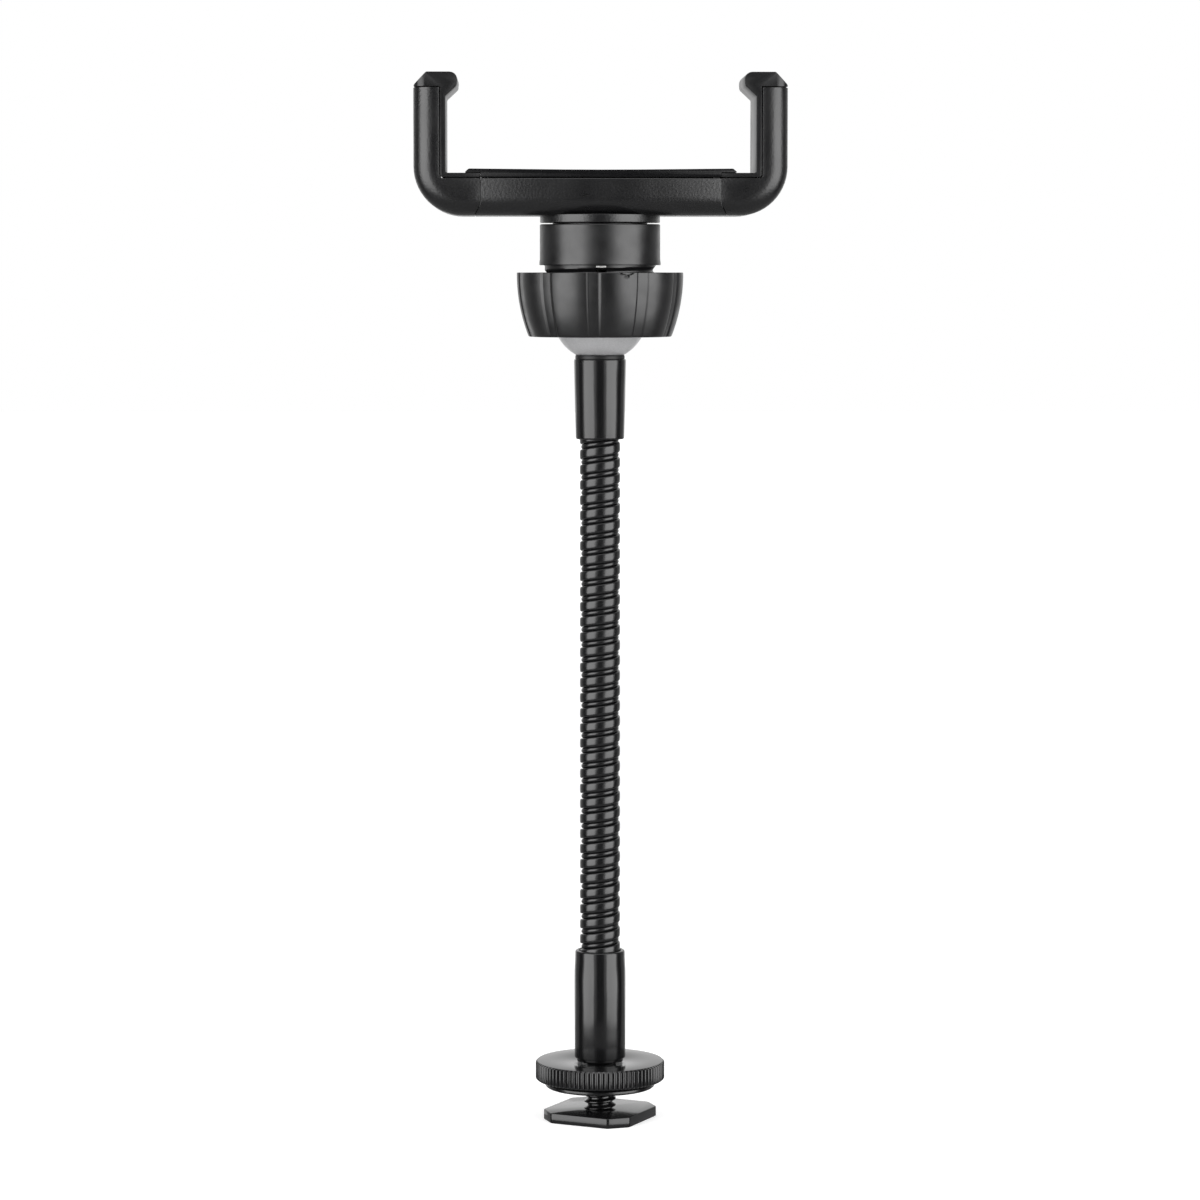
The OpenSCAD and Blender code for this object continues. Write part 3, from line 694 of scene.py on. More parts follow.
@dataclass
class Gooseneck:
    """The two sleeves, the wound neck between them and the ring under the ball.

    Sleeves, coil, bend and ring are given by their lower and upper heights.
    """

    low_sleeve: tuple[float, float] = (12.02, 33.12)
    low_r: float = 5.0
    crimp_r: float = 4.85
    crimp: tuple[float, float, float] = (6.0, 4.0, 1.5)  # its steps, from the top down
    narrowing: float = 0.03
    low_taper: float = 0.05
    screw_r: float = 3.15
    shoulder_r: float = 4.3
    shoulder: float = 0.55
    top_sleeve: tuple[float, float] = (132.52, 147.92)
    top_r: tuple[float, float] = (4.7, 5.0)
    top_lead: tuple[float, float] = (0.6, 0.02)  # its height and how far it goes in
    shank_r: float = 3.05
    bore_r: float = 4.0
    mouth_r: float = 4.1
    grip: float = 5.0  # how deep the wires sit in each sleeve
    sleeve_steps: int = 112
    wire_r: float = 0.98
    wire_depth: float = 1.75
    wire_corner: float = 0.3
    wire_crown: float = 0.06
    coil_r: float = 2.945
    flat_r: float = 3.66
    flat_depth: float = 1.4
    flat_spread: float = 0.52  # how much wider it is inside, behind the outer wire
    flat_crown: tuple[float, float] = (0.22, 0.05)
    wire_gap: float = 0.05
    wound_from: float = 142.0  # degrees
    pitch: float = 2.945
    coil: tuple[float, float] = (29.1, 136.54)
    bend: tuple[float, float] = (35.0, 130.5)
    ring: tuple[float, float] = (147.92, 148.72)
    ring_r: float = 4.75
    steps: int = 36

    def build(self) -> None:
        """Builds the sleeves, the ring and both wires."""
        self._lower_sleeve()
        self._upper_sleeve()
        self._ring()
        bending(self._round_wire(), "neck_round_wire", WIRE,
                ["neck_coil"])
        bending(self._flat_wire(), "neck_flat_wire", WIRE,
                ["neck_wedge_wire"])

    def _lower_sleeve(self) -> None:
        """Turns the lower sleeve, with its shoulder in the nut and its crimp at the top."""
        low, high = self.low_sleeve
        floor = high - self.grip
        full, narrower, crimped = (high - drop for drop in self.crimp)
        shape = Shaper()
        shape.turn([(self.screw_r, low - self.shoulder, 0),
                    (self.shoulder_r, low - self.shoulder, 0.08), (self.shoulder_r, low, 0),
                    (self.low_r - self.low_taper, low, 0.2), (self.low_r, full, 0),
                    (self.low_r - self.narrowing, narrower, 0), (self.crimp_r, crimped, 0),
                    (self.crimp_r - self.narrowing, high, 0.35),
                    (self.mouth_r, high, 0.2), (self.bore_r, floor, 0), (self.screw_r, floor, 0)],
                   self.sleeve_steps)
        shape.piece("lower_neck_sleeve", "base", PLATED, ["lower_sleeve"])

    def _upper_sleeve(self) -> None:
        """Turns the upper sleeve, a little wider at the ball."""
        low, high = self.top_sleeve
        ceiling, (lead, taper) = low + self.grip, self.top_lead
        shape = Shaper()
        shape.turn([(self.mouth_r, low, 0.2), (self.top_r[0], low, 0.35),
                    (self.top_r[1], high - lead, 0), (self.top_r[1] - taper, high, 0.25),
                    (self.shank_r, high, 0.1), (self.shank_r, ceiling, 0),
                    (self.bore_r, ceiling, 0)], self.sleeve_steps)
        shape.piece("upper_neck_sleeve", "neck_top", PLATED, ["upper_sleeve"])

    def _ring(self) -> None:
        """Turns the black ring between sleeve and ball."""
        low, high = self.ring
        shape = Shaper()
        shape.turn([(self.shank_r, low, 0), (self.ring_r, low, 0.1), (self.ring_r, high, 0.25),
                    (self.shank_r, high, 0)])
        shape.piece("ring_under_ball", "neck_top", SOFT_RUBBER, ["neck_ring"])

    def _round_wire(self) -> Shaper:
        """Sweeps the outer wire, drawn flat on the outside.

        Returns:
            Its shape.
        """
        outer = self.coil_r + self.wire_r
        inner, crown, corner = outer - self.wire_depth, outer - self.wire_crown, self.wire_corner
        low, high = -self.wire_r, self.wire_r
        corners = [(inner, low + corner, 0.1), (crown, low, corner), (outer, low / 3, 0),
                   (outer, high / 3, 0), (crown, high, corner), (inner, high - corner, 0.1)]
        return self._wound(corners, self.coil[0])

    def _flat_wire(self) -> Shaper:
        """Sweeps the inner wire, which shows between the turns of the outer one.

        Returns:
            Its shape.
        """
        crest, half = self.flat_r, self.pitch / 2 - self.wire_r - self.wire_gap
        inner, wide = crest - self.flat_depth, half + self.flat_spread
        edge, quarter = (crest - drop for drop in self.flat_crown)
        corners = [(inner, -wide, 0), (edge, -half, 0), (quarter, -half / 2, 0), (crest, 0, 0),
                   (quarter, half / 2, 0), (edge, half, 0), (inner, wide, 0)]
        return self._wound(corners, self.coil[0] + self.pitch / 2)

    def _wound(self, corners: Sequence[Corner], middle: float) -> Shaper:
        """Winds a wire as far as the coil goes.

        Args:
            corners: its outline, in radius and height.
            middle: the height at which it starts.

        Returns:
            Its shape.
        """
        shape = Shaper()
        start = math.radians(self.wound_from)
        shape.outline(corners, lambda r, z: Vector((r * math.cos(start), r * math.sin(start),
                                                    middle + z)), 3)
        turns = (self.coil[1] - middle) / self.pitch
        return shape.sweep_helix(turns, self.pitch, self.steps)


@dataclass
class BallHead:
    """The ball, the slotted socket round it and its collar.

    Heights are above the ball's centre. Pairs such as cup_top, tip and screw are a radius and
    a height.
    """

    centre: float
    ball_r: float = 9.25
    flat_r: float = 4.65
    shank_r: float = 3.0
    shank_l: float = 16.8
    ball_steps: tuple[int, int] = (40, 96)  # up the ball and round it
    cup_r: float = 9.35
    cup_top: tuple[float, float] = (3.9, 10.3)
    axis_r: float = 0.5  # of the screw's hole
    finger_r: float = 10.75
    finger_top: float = 9.1
    finger_low: float = -0.9
    finger_taper: float = 0.1
    finger_steps: int = 24
    tip: tuple[float, float] = (9.59, -2.9)
    seat_gap: float = 0.05
    seat_arc: tuple[float, ...] = (-17.0, -8.0, 0.0, 10.0, 20.0)  # degrees up the ball
    seat_top: float = 3.6
    slot: float = 1.9
    slot_r: float = 10.2
    thread_pitch: float = 1.5
    thread_end: float = 6.0  # turns above the centre
    thread_depth: float = 0.5
    thread_skin: float = 0.15
    thread_round: float = 0.6  # below 1, its grooves are wider than its crests
    thread_cuts: int = 48
    collar_r: float = 11.55
    flare_r: float = 11.65
    flare: tuple[float, float] = (0.45, 1.2)  # its straight part and its end, above collar_low
    skirt: float = 0.15
    root_r: float = 10.7
    collar_low: float = 9.2
    collar_top: float = 17.0
    boss_r: float = 9.1
    boss: float = 0.25
    screw: tuple[float, float] = (3.6, 13.5)
    # A painted glint: white blocks under the collar that show as a bright spot at the top of the
    # front and the back slot.
    glint_half: float = 0.95
    glint_reach: tuple[float, float] = (9.4, 10.66)
    glint_drop: tuple[float, float] = (0.48, 0.05)  # their bottom and top, under the collar
    glint_edge_r: float = 0.06
    steps: int = 128

    def build(self) -> None:
        """Builds the ball, the socket and the white blocks that paint a glint in the front and the
        back slot.
        """
        self._ball()
        self._socket()
        self._painted_glint()

    def _ball(self) -> None:
        """Turns the ball with its flat and its shank."""
        shape = Shaper(self.centre)
        low = -math.sqrt(self.ball_r ** 2 - self.flat_r ** 2)
        seed = shape.bm.verts.new((self.flat_r, 0, low))
        bmesh.ops.spin(shape.bm, geom=[seed], cent=(0, 0, 0), axis=(0, -1, 0), dvec=(0, 0, 0),
                       angle=math.pi / 2 - math.atan2(low, self.flat_r), steps=self.ball_steps[0],
                       use_merge=False, use_duplicate=False)
        outer = shape.bm.verts.new((self.shank_r, 0, low))
        foot = shape.bm.verts.new((self.shank_r, 0, -self.shank_l))
        middle = shape.bm.verts.new((0, 0, -self.shank_l))
        for pair in ((seed, outer), (outer, foot), (foot, middle)):
            shape.bm.edges.new(pair)
        bmesh.ops.spin(shape.bm, geom=list(shape.bm.verts) + list(shape.bm.edges),
                       cent=(0, 0, 0), axis=(0, 0, 1), dvec=(0, 0, 0), angle=FULL_TURN,
                       steps=self.ball_steps[1], use_merge=True, use_duplicate=False)
        shape.clean().piece("zinc_ball", "neck_top", ZINC, ["ball"])

    def _socket(self) -> None:
        """Turns the collar and sets the four fingers under it."""
        low, top = self.collar_low, self.collar_top
        skirt, ledge = low - self.skirt, top + self.boss
        screw_r, screw_floor = self.screw
        shape = Shaper(self.centre)
        shape.turn([(self.cup_r, skirt, 0), (self.root_r, skirt, 0), (self.root_r, low, 0),
                    (self.flare_r, low, 0.12), (self.flare_r, low + self.flare[0], 0.1),
                    (self.collar_r, low + self.flare[1], 0), (self.collar_r, top, 0.25),
                    (self.boss_r, top, 0), (self.boss_r, ledge, 0.08), (screw_r, ledge, 0),
                    (screw_r, screw_floor, 0), (self.axis_r, screw_floor, 0),
                    (self.axis_r, self.cup_top[1], 0), (*self.cup_top, 0)], self.steps)
        for quarter in range(4):
            self._finger(shape, quarter)
        shape.piece("socket_and_collar", "head", GLOSS, ["socket"])

    def _painted_glint(self) -> None:
        """Builds two white blocks under the collar, a painted glint at the top of the front and the
        back slot.
        """
        drop, rise = self.glint_drop
        shape = Shaper(self.centre)
        for way in (-1, 1):
            near, far = sorted(way * reach for reach in self.glint_reach)
            shape.box((-self.glint_half, near, self.collar_low - drop),
                      (self.glint_half, far, self.collar_low - rise), self.glint_edge_r)
        # White boxes that paint a glint in the front and the back slot.
        shape.piece("painted_slot_glint", "head", NYLON)

    def _finger(self, shape: Shaper, quarter: int) -> None:
        """Adds one of the four threaded fingers that hold the ball.

        Args:
            shape: what it is added to.
            quarter: which of the four it is.
        """
        half = math.asin(self.slot / 2 / self.slot_r)
        start = quarter * math.pi / 2 + half
        inner = self.ball_r + self.seat_gap
        skin = self.finger_r - self.thread_skin
        finger = Shaper()
        points = [(self.finger_r - self.finger_taper, self.finger_top),
                  (self.finger_r, self.finger_low), self.tip]
        points += [(inner * math.cos(math.radians(a)), inner * math.sin(math.radians(a)))
                   for a in self.seat_arc]
        points += [(self.cup_r, self.seat_top), (self.cup_r, self.finger_top)]
        face = finger.outline([(r, z, 0) for r, z in points],
                              lambda r, z: Vector((r * math.cos(start), r * math.sin(start), z)))
        rim = [e for e in face.edges if all(math.hypot(v.co.x, v.co.y) > skin for v in e.verts)]
        bmesh.ops.subdivide_edges(finger.bm, edges=rim, cuts=self.thread_cuts)
        geom = list(finger.bm.verts) + list(finger.bm.edges) + list(finger.bm.faces)
        bmesh.ops.spin(finger.bm, geom=geom, cent=(0, 0, 0), axis=(0, 0, 1), dvec=(0, 0, 0),
                       angle=math.pi / 2 - 2 * half, steps=self.finger_steps,
                       use_merge=False, use_duplicate=False)
        for vert in finger.bm.verts:
            radius = math.hypot(vert.co.x, vert.co.y)
            if radius < skin:
                continue
            phase = vert.co.z / self.thread_pitch - math.atan2(vert.co.y, vert.co.x) / FULL_TURN
            if phase < self.thread_end:
                groove = 0.5 - 0.5 * math.cos(FULL_TURN * phase)
                vert.co.xy *= 1 - self.thread_depth * groove ** self.thread_round / radius
        shape.take(finger)


@dataclass
class LockNut:
    """The lobed nut that squeezes the socket on the ball. Heights are above the ball's centre.

    Each groove has a steep flank and a slack one, and the lobes between them bulge. The gate
    notch is the thin outline of an oval at the top edge.
    """

    centre: float
    low: float = -4.5
    high: float = 7.8
    largest_r: float = 16.0
    barrel_r: float = 32.4
    barrel_z: float = 7.4
    rows: int = 22
    lip: float = 0.55
    lip_row: float = 0.09
    lip_rows: int = 5
    foot_r: tuple[float, float] = (0.3, 0.35)
    rim_r: float = 0.15
    lobes: int = 10
    groove_w: float = 2.7227
    groove_depth: float = 0.42
    flanks: tuple[float, float] = (0.2094, 0.4188)  # widths of the steep and the slack one
    first: float = -95.625  # degrees
    mouth_r: float = 8.48
    mouth: float = -3.6
    cone: tuple[float, float] = (9.5, -2.9)
    bore_r: float = 10.83
    bore: float = -1.3
    bulge: float = 0.45
    notch_at: float = -72.7  # degrees
    notch: tuple[float, float] = (1.35, 0.52)  # the oval's half width and half height
    notch_line: tuple[float, float] = (0.6, 1.25)  # its line, in squares of those
    notch_depth: float = 0.6
    skin: tuple[float, float] = (1.2, 1.0)  # how deep the wall moves, and over what it fades
    steps: int = 480

    def radius(self, z: float) -> float:
        """Returns the barrel's radius at a height above the ball's centre."""
        drop = math.sqrt(self.barrel_r ** 2 - (z - self.barrel_z) ** 2)
        return self.largest_r - self.barrel_r + drop

    def build(self) -> None:
        """Turns the nut and presses its grooves and its notch in."""
        shape = Shaper(self.centre)
        wall = [self.low + (self.high - self.low) * i / self.rows for i in range(1, self.rows)]
        wall += [self.high - self.lip + self.lip_row * i for i in range(self.lip_rows)]
        corners = [(self.mouth_r, self.low, self.foot_r[0]),
                   (self.radius(self.low), self.low, self.foot_r[1])]
        corners += [(self.radius(z), z, 0.0) for z in sorted(wall) if z < self.high - self.rim_r]
        corners += [(self.radius(self.high), self.high, self.rim_r),
                    (self.bore_r, self.high, self.rim_r), (self.bore_r, self.bore, 0),
                    (*self.cone, 0), (self.mouth_r, self.mouth, 0)]
        shape.turn(corners, self.steps, 3)
        for vert in shape.bm.verts:
            self._press(vert)
        shape.clean().piece("lobed_lock_nut", "lock", GLOSS, ["ball_lock_nut"], crease=50)

    def _press(self, vert: bmesh.types.BMVert) -> None:
        """Moves one point of the outer wall in, where a groove or the gate notch is.

        Args:
            vert: the point.
        """
        radius = math.hypot(vert.co.x, vert.co.y)
        height = vert.co.z
        outer = self.radius(min(self.high, max(self.low, height)))
        share = max(0.0, min(1.0, (radius - outer + self.skin[0]) / self.skin[1]))
        if share == 0.0:
            return
        angle = math.atan2(vert.co.y, vert.co.x)
        gap = FULL_TURN / self.lobes
        off = (angle - math.radians(self.first) + gap / 2) % gap - gap / 2
        across = off * self.largest_r
        steep = (across + self.groove_w / 2) / self.flanks[0]
        slack = (self.groove_w / 2 - across) / self.flanks[1]
        flank = max(0.0, min(1.0, steep, slack))
        lobe = self.bulge * (1 - 2 * abs(off) / gap) ** 2
        depth = self.groove_depth * flank + lobe * (1 - flank)
        along = ((angle - math.radians(self.notch_at) + math.pi) % FULL_TURN - math.pi) * outer
        oval = (along / self.notch[0]) ** 2 + ((height - self.high) / self.notch[1]) ** 2
        if self.notch_line[0] < oval < self.notch_line[1]:
            depth += self.notch_depth
        vert.co.xy *= 1 - share * depth / radius


@dataclass
class Clamp:
    """The body that holds the jaws: disc, channel and rubber pad.

    Heights are above the ball's centre.
    """

    centre: float
    disc_r: float = 11.5
    disc: tuple[float, float] = (17.3, 18.55)
    disc_root: float = 0.3  # how far the disc reaches into the body
    hole_r: float = 2.1
    width: float = 21.0
    low: float = 18.55
    top: float = 25.6
    floor: float = 20.55
    channel: float = 8.6
    seam: float = 22.8
    seam_r: float = 0.06
    slant: float = 1.1  # how much further out the ends are at the bottom
    edge_r: float = 3.6
    pad_low: float = 25.63
    pad_top: float = 27.3
    pad_x: float = 25.85
    pad_w: float = 20.6
    pad_lip: float = 1.05
    pad_slope: float = 0.8
    pad_brow: float = 0.1
    pad_lift: float = 0.08
    pad_edge_r: float = 0.2
    joint: float = 0.22  # height of the dark line under the pad
    sag: float = 0.18
    sag_at: tuple[float, ...] = (20.0, 14.0, 7.0, 0.0, -7.0, -14.0, -20.0)
    inset: tuple[float, float] = (1.5, 1.2)  # of what joins the pad to the body
    lap: float = 0.3
    steps: int = 128

    def build(self) -> None:
        """Builds the body with its disc, and the pad."""
        self._body()
        self._pad()

    def _body(self) -> None:
        """Draws the channel out along the clamp, its ends slanted, and turns the disc under it."""
        shape = Shaper(self.centre)
        half = self.width / 2
        section = [(-half, self.low, self.edge_r), (half, self.low, self.edge_r),
                   (half, self.top, 0.2), (self.channel, self.top, 0.1),
                   (self.channel, self.floor, 0.2), (-self.channel, self.floor, 0.2),
                   (-self.channel, self.top, 0.1), (-half, self.top, 0.2)]
        face = shape.outline(section, lambda y, z: Vector((-self.seam, y, z)), 8)
        shape.extrude(face, Vector((2 * self.seam, 0, 0)))
        for vert in shape.bm.verts:
            low = max(0.0, min(1.0, (self.floor - vert.co.z) / (self.floor - self.low)))
            vert.co.x += math.copysign(self.slant * low, vert.co.x)
        ends = shape.sharp_edges(lambda at: abs(at.x) > self.seam - TOUCH)
        shape.round_edges(ends, self.seam_r, 2)
        low, high = self.disc[0], self.disc[1] + self.disc_root
        shape.turn([(self.hole_r, low, 0.1), (self.disc_r, low, 0.12), (self.disc_r, high, 0.1),
                    (self.hole_r, high, 0)], self.steps)
        shape.piece("clamp_channel", "clamp", MATTE, ["clamp_body"])

    def _pad(self) -> None:
        """Builds the pad, a little hollow on top, over a dark joint line."""
        shape = Shaper(self.centre)
        half = self.pad_w / 2
        lip, low = self.pad_low + self.pad_lip, self.pad_low + self.joint
        edge, brow = self.pad_x - self.pad_slope, self.pad_top + self.pad_brow
        section = [(-self.seam, low, 0.05), (self.seam, low, 0.05),
                   (self.seam, lip, 0.1), (self.pad_x, lip, 0.1), (edge, brow, 0.5)]
        top = self.pad_top + self.pad_lift
        section += [(x, top - self.sag * (1 - (x / self.pad_x) ** 2) ** 2, 0.0)
                    for x in self.sag_at]
        section += [(-edge, brow, 0.5), (-self.pad_x, lip, 0.1), (-self.seam, lip, 0.1)]
        face = shape.outline(section, lambda x, z: Vector((x, -half, z)))
        shape.extrude(face, Vector((0, self.pad_w, 0)))
        shape.round_edges(shape.side_edges(half), self.pad_edge_r, 2)
        x, y = self.seam - self.inset[0], half - self.inset[1]
        shape.box((-x, -y, self.pad_low), (x, y, low + self.lap))
        shape.piece("rubber_rest_pad", "clamp", PAD_RUBBER, ["centre_pad"])


@dataclass
class Jaw:
    """One sprung jaw: elbow, arm, rails and the rubber liner.

    X is given outward from the clamp's middle, and heights are above the ball's centre.
    """

    side: Side
    clamp: Clamp
    gap: float = 0.15  # to the body when the jaw is in
    arm_in: float = 30.6
    arm_out: float = 35.55
    arm_top: float = 42.7
    arm_root_r: float = 0.6
    elbow_r: float = 9.3
    elbow_steps: int = 14
    elbow_flat: float = 0.15  # how far its flats lie inside the true arc
    seam_r: float = 0.06
    spare: float = 8.0  # length beyond the cuts, so that they run through round edges
    rail_start: float = 3.0
    rail: tuple[float, float] = (4.9, 8.3)  # its two sides, by their distance from the middle
    rail_z: tuple[float, float] = (20.7, 24.25)
    rail_edge_r: float = 0.2
    root: float = 1.0  # how far rails and web reach into the elbow
    web_t: float = 0.8
    web_start: float = 19.0
    web_lap: float = 0.2
    web_rise: float = 0.02
    liner_x: float = 29.4
    liner_w: float = 20.6
    liner_t: float = 1.0
    liner_edge_r: float = 0.2
    joint: float = 0.2  # the dark line to body and arm
    tongue: float = 8.5  # half the width of what joins the liner to them
    foot_tongue: tuple[float, float] = (1.2, 0.5)  # start past the seam, and height
    back_tongue: tuple[float, float, float] = (0.5, 2.0, 1.0)  # inset, and both ends
    head_tongue: tuple[float, float, float] = (0.6, 1.2, 0.6)  # both ends, and height
    contact: float = 0.02
    head_in: float = 0.1
    head_lip: float = 0.25
    head_corner: float = 2.4
    head_cuts: tuple[float, ...] = (11.0, 23.0, 35.0, 47.0, 59.0, 71.0, 82.0)  # degrees
    head_x: tuple[float, float] = (27.0, 27.25)
    head_drop: tuple[float, float] = (2.6, 4.6)
    head_slope: float = 2.5
    head_top: float = 45.6

    def build(self) -> None:
        """Builds the jaw and its liner."""
        self._shell()
        self._liner()

    def _place(self, depth: float) -> Callable[[float, float], Vector]:
        """Returns the map from outward distance and height to space, at that depth."""
        return lambda x, z: Vector((x * self.side.value, depth, z))

    def _block(self, shape: Shaper, low: Sequence[float], high: Sequence[float],
               round_off: float = 0.0) -> None:
        """Adds a box whose X is given outward from the middle.

        Args:
            shape: what it is added to.
            low: its inner, front and lowest place.
            high: its outer, back and highest place.
            round_off: the radius of its edges.
        """
        near, far = sorted((self.side.value * low[0], self.side.value * high[0]))
        shape.box((near, *low[1:]), (far, *high[1:]), round_off)

    def _shell(self) -> None:
        """Builds the elbow and the arm, rounded outside, and the rails that run in the body."""
        body = self.clamp
        seam, half, high = body.seam + self.gap, body.width / 2, self.arm_top + self.spare
        shape = Shaper(body.centre)
        outline = [(seam - self.spare, body.low, 0.0), (self.arm_out, body.low, self.elbow_r),
                   (self.arm_out, high, 0.0), (self.arm_in, high, 0.0),
                   (self.arm_in, body.top, self.arm_root_r), (seam - self.spare, body.top, 0)]
        face = shape.outline(outline, self._place(-half), self.elbow_steps)
        shape.extrude(face, Vector((0, body.width, 0)))
        outside = [e for e in shape.side_edges(half) if self._is_outside(e)]
        shape.round_edges(outside, body.edge_r, 8, clamp=False)
        out = self.side.value
        shape.cut((0, 0, self.arm_top), (0, 0, 1)).cut((out * seam, 0, 0), (-out, 0, 0))
        fall = body.floor - body.low
        shape.cut((out * seam, 0, body.floor), (-out * fall, 0, -body.slant))
        shape.round_edges(shape.sharp_edges(), self.seam_r, 2)
        root, (rail_low, rail_high) = seam + self.root, self.rail_z
        for sign in (-1, 1):
            near, far = sorted((sign * self.rail[0], sign * self.rail[1]))
            self._block(shape, (self.rail_start, near, rail_low), (root, far, rail_high),
                        self.rail_edge_r)
        web = self.rail[0] + self.web_lap
        self._block(shape, (self.web_start, -web, rail_low + self.web_rise),
                    (root, web, rail_low + self.web_t))
        shape.clean().piece(f"{self.side.word}_jaw_arm", f"jaw_{self.side.word}", MATTE,
                            [f"{self.side.word}_jaw"])

    def _is_outside(self, edge: bmesh.types.BMEdge) -> bool:
        """Tells whether an edge lies on the outer path of the L.

        Args:
            edge: an edge round one of the sides.

        Returns:
            True below, on the elbow and along the arm.
        """
        body = self.clamp
        x = [abs(v.co.x) for v in edge.verts]
        z = [v.co.z for v in edge.verts]
        if max(z) < body.low + TOUCH or min(x) > self.arm_out - TOUCH:
            return True
        centre = Vector((self.arm_out - self.elbow_r, body.low + self.elbow_r))
        return all(abs((Vector(p) - centre).length - self.elbow_r) < self.elbow_flat
                   and p[0] > centre.x - TOUCH and p[1] < centre.y + TOUCH for p in zip(x, z))

    def _liner(self) -> None:
        """Builds the liner with its overhanging head, a joint line away from body and arm."""
        body = self.clamp
        foot, low, high = body.seam + self.gap, body.top + self.joint, body.top + self.liner_t
        back, under = self.arm_in - self.joint, self.arm_top + self.joint
        brow, top = self.arm_out - self.head_in, self.head_top
        shape = Shaper(body.centre)
        outline = [(foot, low, 0), (back, low, 0.5), (back, under, 0.0), (brow, under, 0.1),
                   (brow, under + self.head_lip, 0.2), (self.arm_out - self.head_slope, top, 0.4),
                   (self.head_x[0], top, 1.5), (self.head_x[1], top - self.head_drop[0], 0.7),
                   (self.liner_x, top - self.head_drop[1], 0.5), (self.liner_x, high, 0.4),
                   (foot, high, 0.15)]
        face = shape.outline(outline, self._place(-self.liner_w / 2), 5)
        shape.extrude(face, Vector((0, self.liner_w, 0)))
        self._round_head(shape)
        shape.round_edges(shape.side_edges(self.liner_w / 2), self.liner_edge_r, 2)
        self._tongues(shape)
        shape.piece(f"{self.side.word}_rubber_liner", f"jaw_{self.side.word}", RUBBER,
                    [f"{self.side.word}_liner"])

    def _tongues(self, shape: Shaper) -> None:
        """Adds what joins the liner to body and arm behind the joint lines.

        Args:
            shape: the liner.
        """
        body, deep, contact = self.clamp, self.tongue, self.contact
        start, height = self.foot_tongue
        self._block(shape, (body.seam + start, -deep, body.top + contact),
                    (self.liner_x, deep, body.top + height))
        inset, foot, head = self.back_tongue
        self._block(shape, (self.liner_x + inset, -deep, body.top + foot),
                    (self.arm_in - contact, deep, self.arm_top - head))
        near, far, height = self.head_tongue
        self._block(shape, (self.arm_in + near, -deep, self.arm_top + contact),
                    (self.arm_out - far, deep, self.arm_top + height))

    def _round_head(self, shape: Shaper) -> None:
        """Rounds the head's two outer upright corners, as the arm below it is rounded.

        Args:
            shape: the liner.
        """
        radius = self.head_corner
        x = self.arm_out - self.head_in - radius
        for sign in (-1, 1):
            y = sign * (self.liner_w / 2 - radius)
            for degrees in self.head_cuts:
                turn = math.radians(degrees)
                way = (self.side.value * math.cos(turn), sign * math.sin(turn), 0)
                shape.cut((self.side.value * x + radius * way[0], y + radius * way[1], 0), way)


@dataclass
class ReturnSpring:
    """The extension spring between the body's middle post and one jaw's pin."""

    side: Side
    centre: float
    coil_r: float = 1.1
    wire_r: float = 0.2
    wire_flats: int = 8
    turns: int = 14
    turn_steps: int = 20
    start: float = 5.25
    end: float = 18.95
    axis_z: float = 22.95

    def build(self) -> None:
        """Builds the spring between the post and the jaw's pin."""
        shape = Shaper(self.centre)
        pitch = (self.end - self.start) / self.turns
        place = Matrix.Translation((self.coil_r, 0, 0)) @ Matrix.Rotation(math.pi / 2, 4, "X")
        bmesh.ops.create_circle(shape.bm, cap_ends=True, segments=self.wire_flats,
                                radius=self.wire_r, matrix=place)
        shape.sweep_helix(self.turns, pitch, self.turn_steps)
        lie = (Matrix.Translation((self.side.value * self.start, 0, self.axis_z))
               @ Matrix.Rotation(self.side.value * math.pi / 2, 4, "Y"))
        bmesh.ops.transform(shape.bm, matrix=lie, verts=list(shape.bm.verts))
        shape.clean()
        bending(shape, f"{self.side.word}_return_spring", STEEL,
                [f"{self.side.word}_spring"])


@dataclass
class HiddenPieces:
    """The model's own pieces that stay inside and need only a finish."""

    nodes: dict[str, bpy.types.Object]

    def dress(self) -> None:
        """Gives each its finish."""
        finishes = {"ball_seat": NYLON, "swivel_screw": STEEL, "swivel_washer": STEEL,
                    "body_cover": MATTE, "cover_screws": STEEL}
        for name, finish in finishes.items():
            mesh = self.nodes[name].data
            mesh.materials.clear()
            mesh.materials.append(finish.material())


@dataclass(frozen=True)
class Softbox:
    """A tall soft lamp at the side, aimed at the object. Lengths are metres."""

    name: str
    azimuth: float
    distance: float = 0.75
    width: float = 0.72
    height: float = 0.86
    middle: float = 0.22
    radiance: float = 3.7

    def build(self) -> None:
        """Builds the lamp. The camera doesn't see it."""
        data = bpy.data.lights.new(self.name, "AREA")
        data.shape = "RECTANGLE"
        data.size, data.size_y = self.width, self.height
        data.energy = self.radiance * self.width * self.height * math.pi
        lamp = bpy.data.objects.new(self.name, data)
        lamp.matrix_world = facing(self.azimuth, self.distance, self.middle)
        lamp.visible_camera = False
        bpy.context.scene.collection.objects.link(lamp)


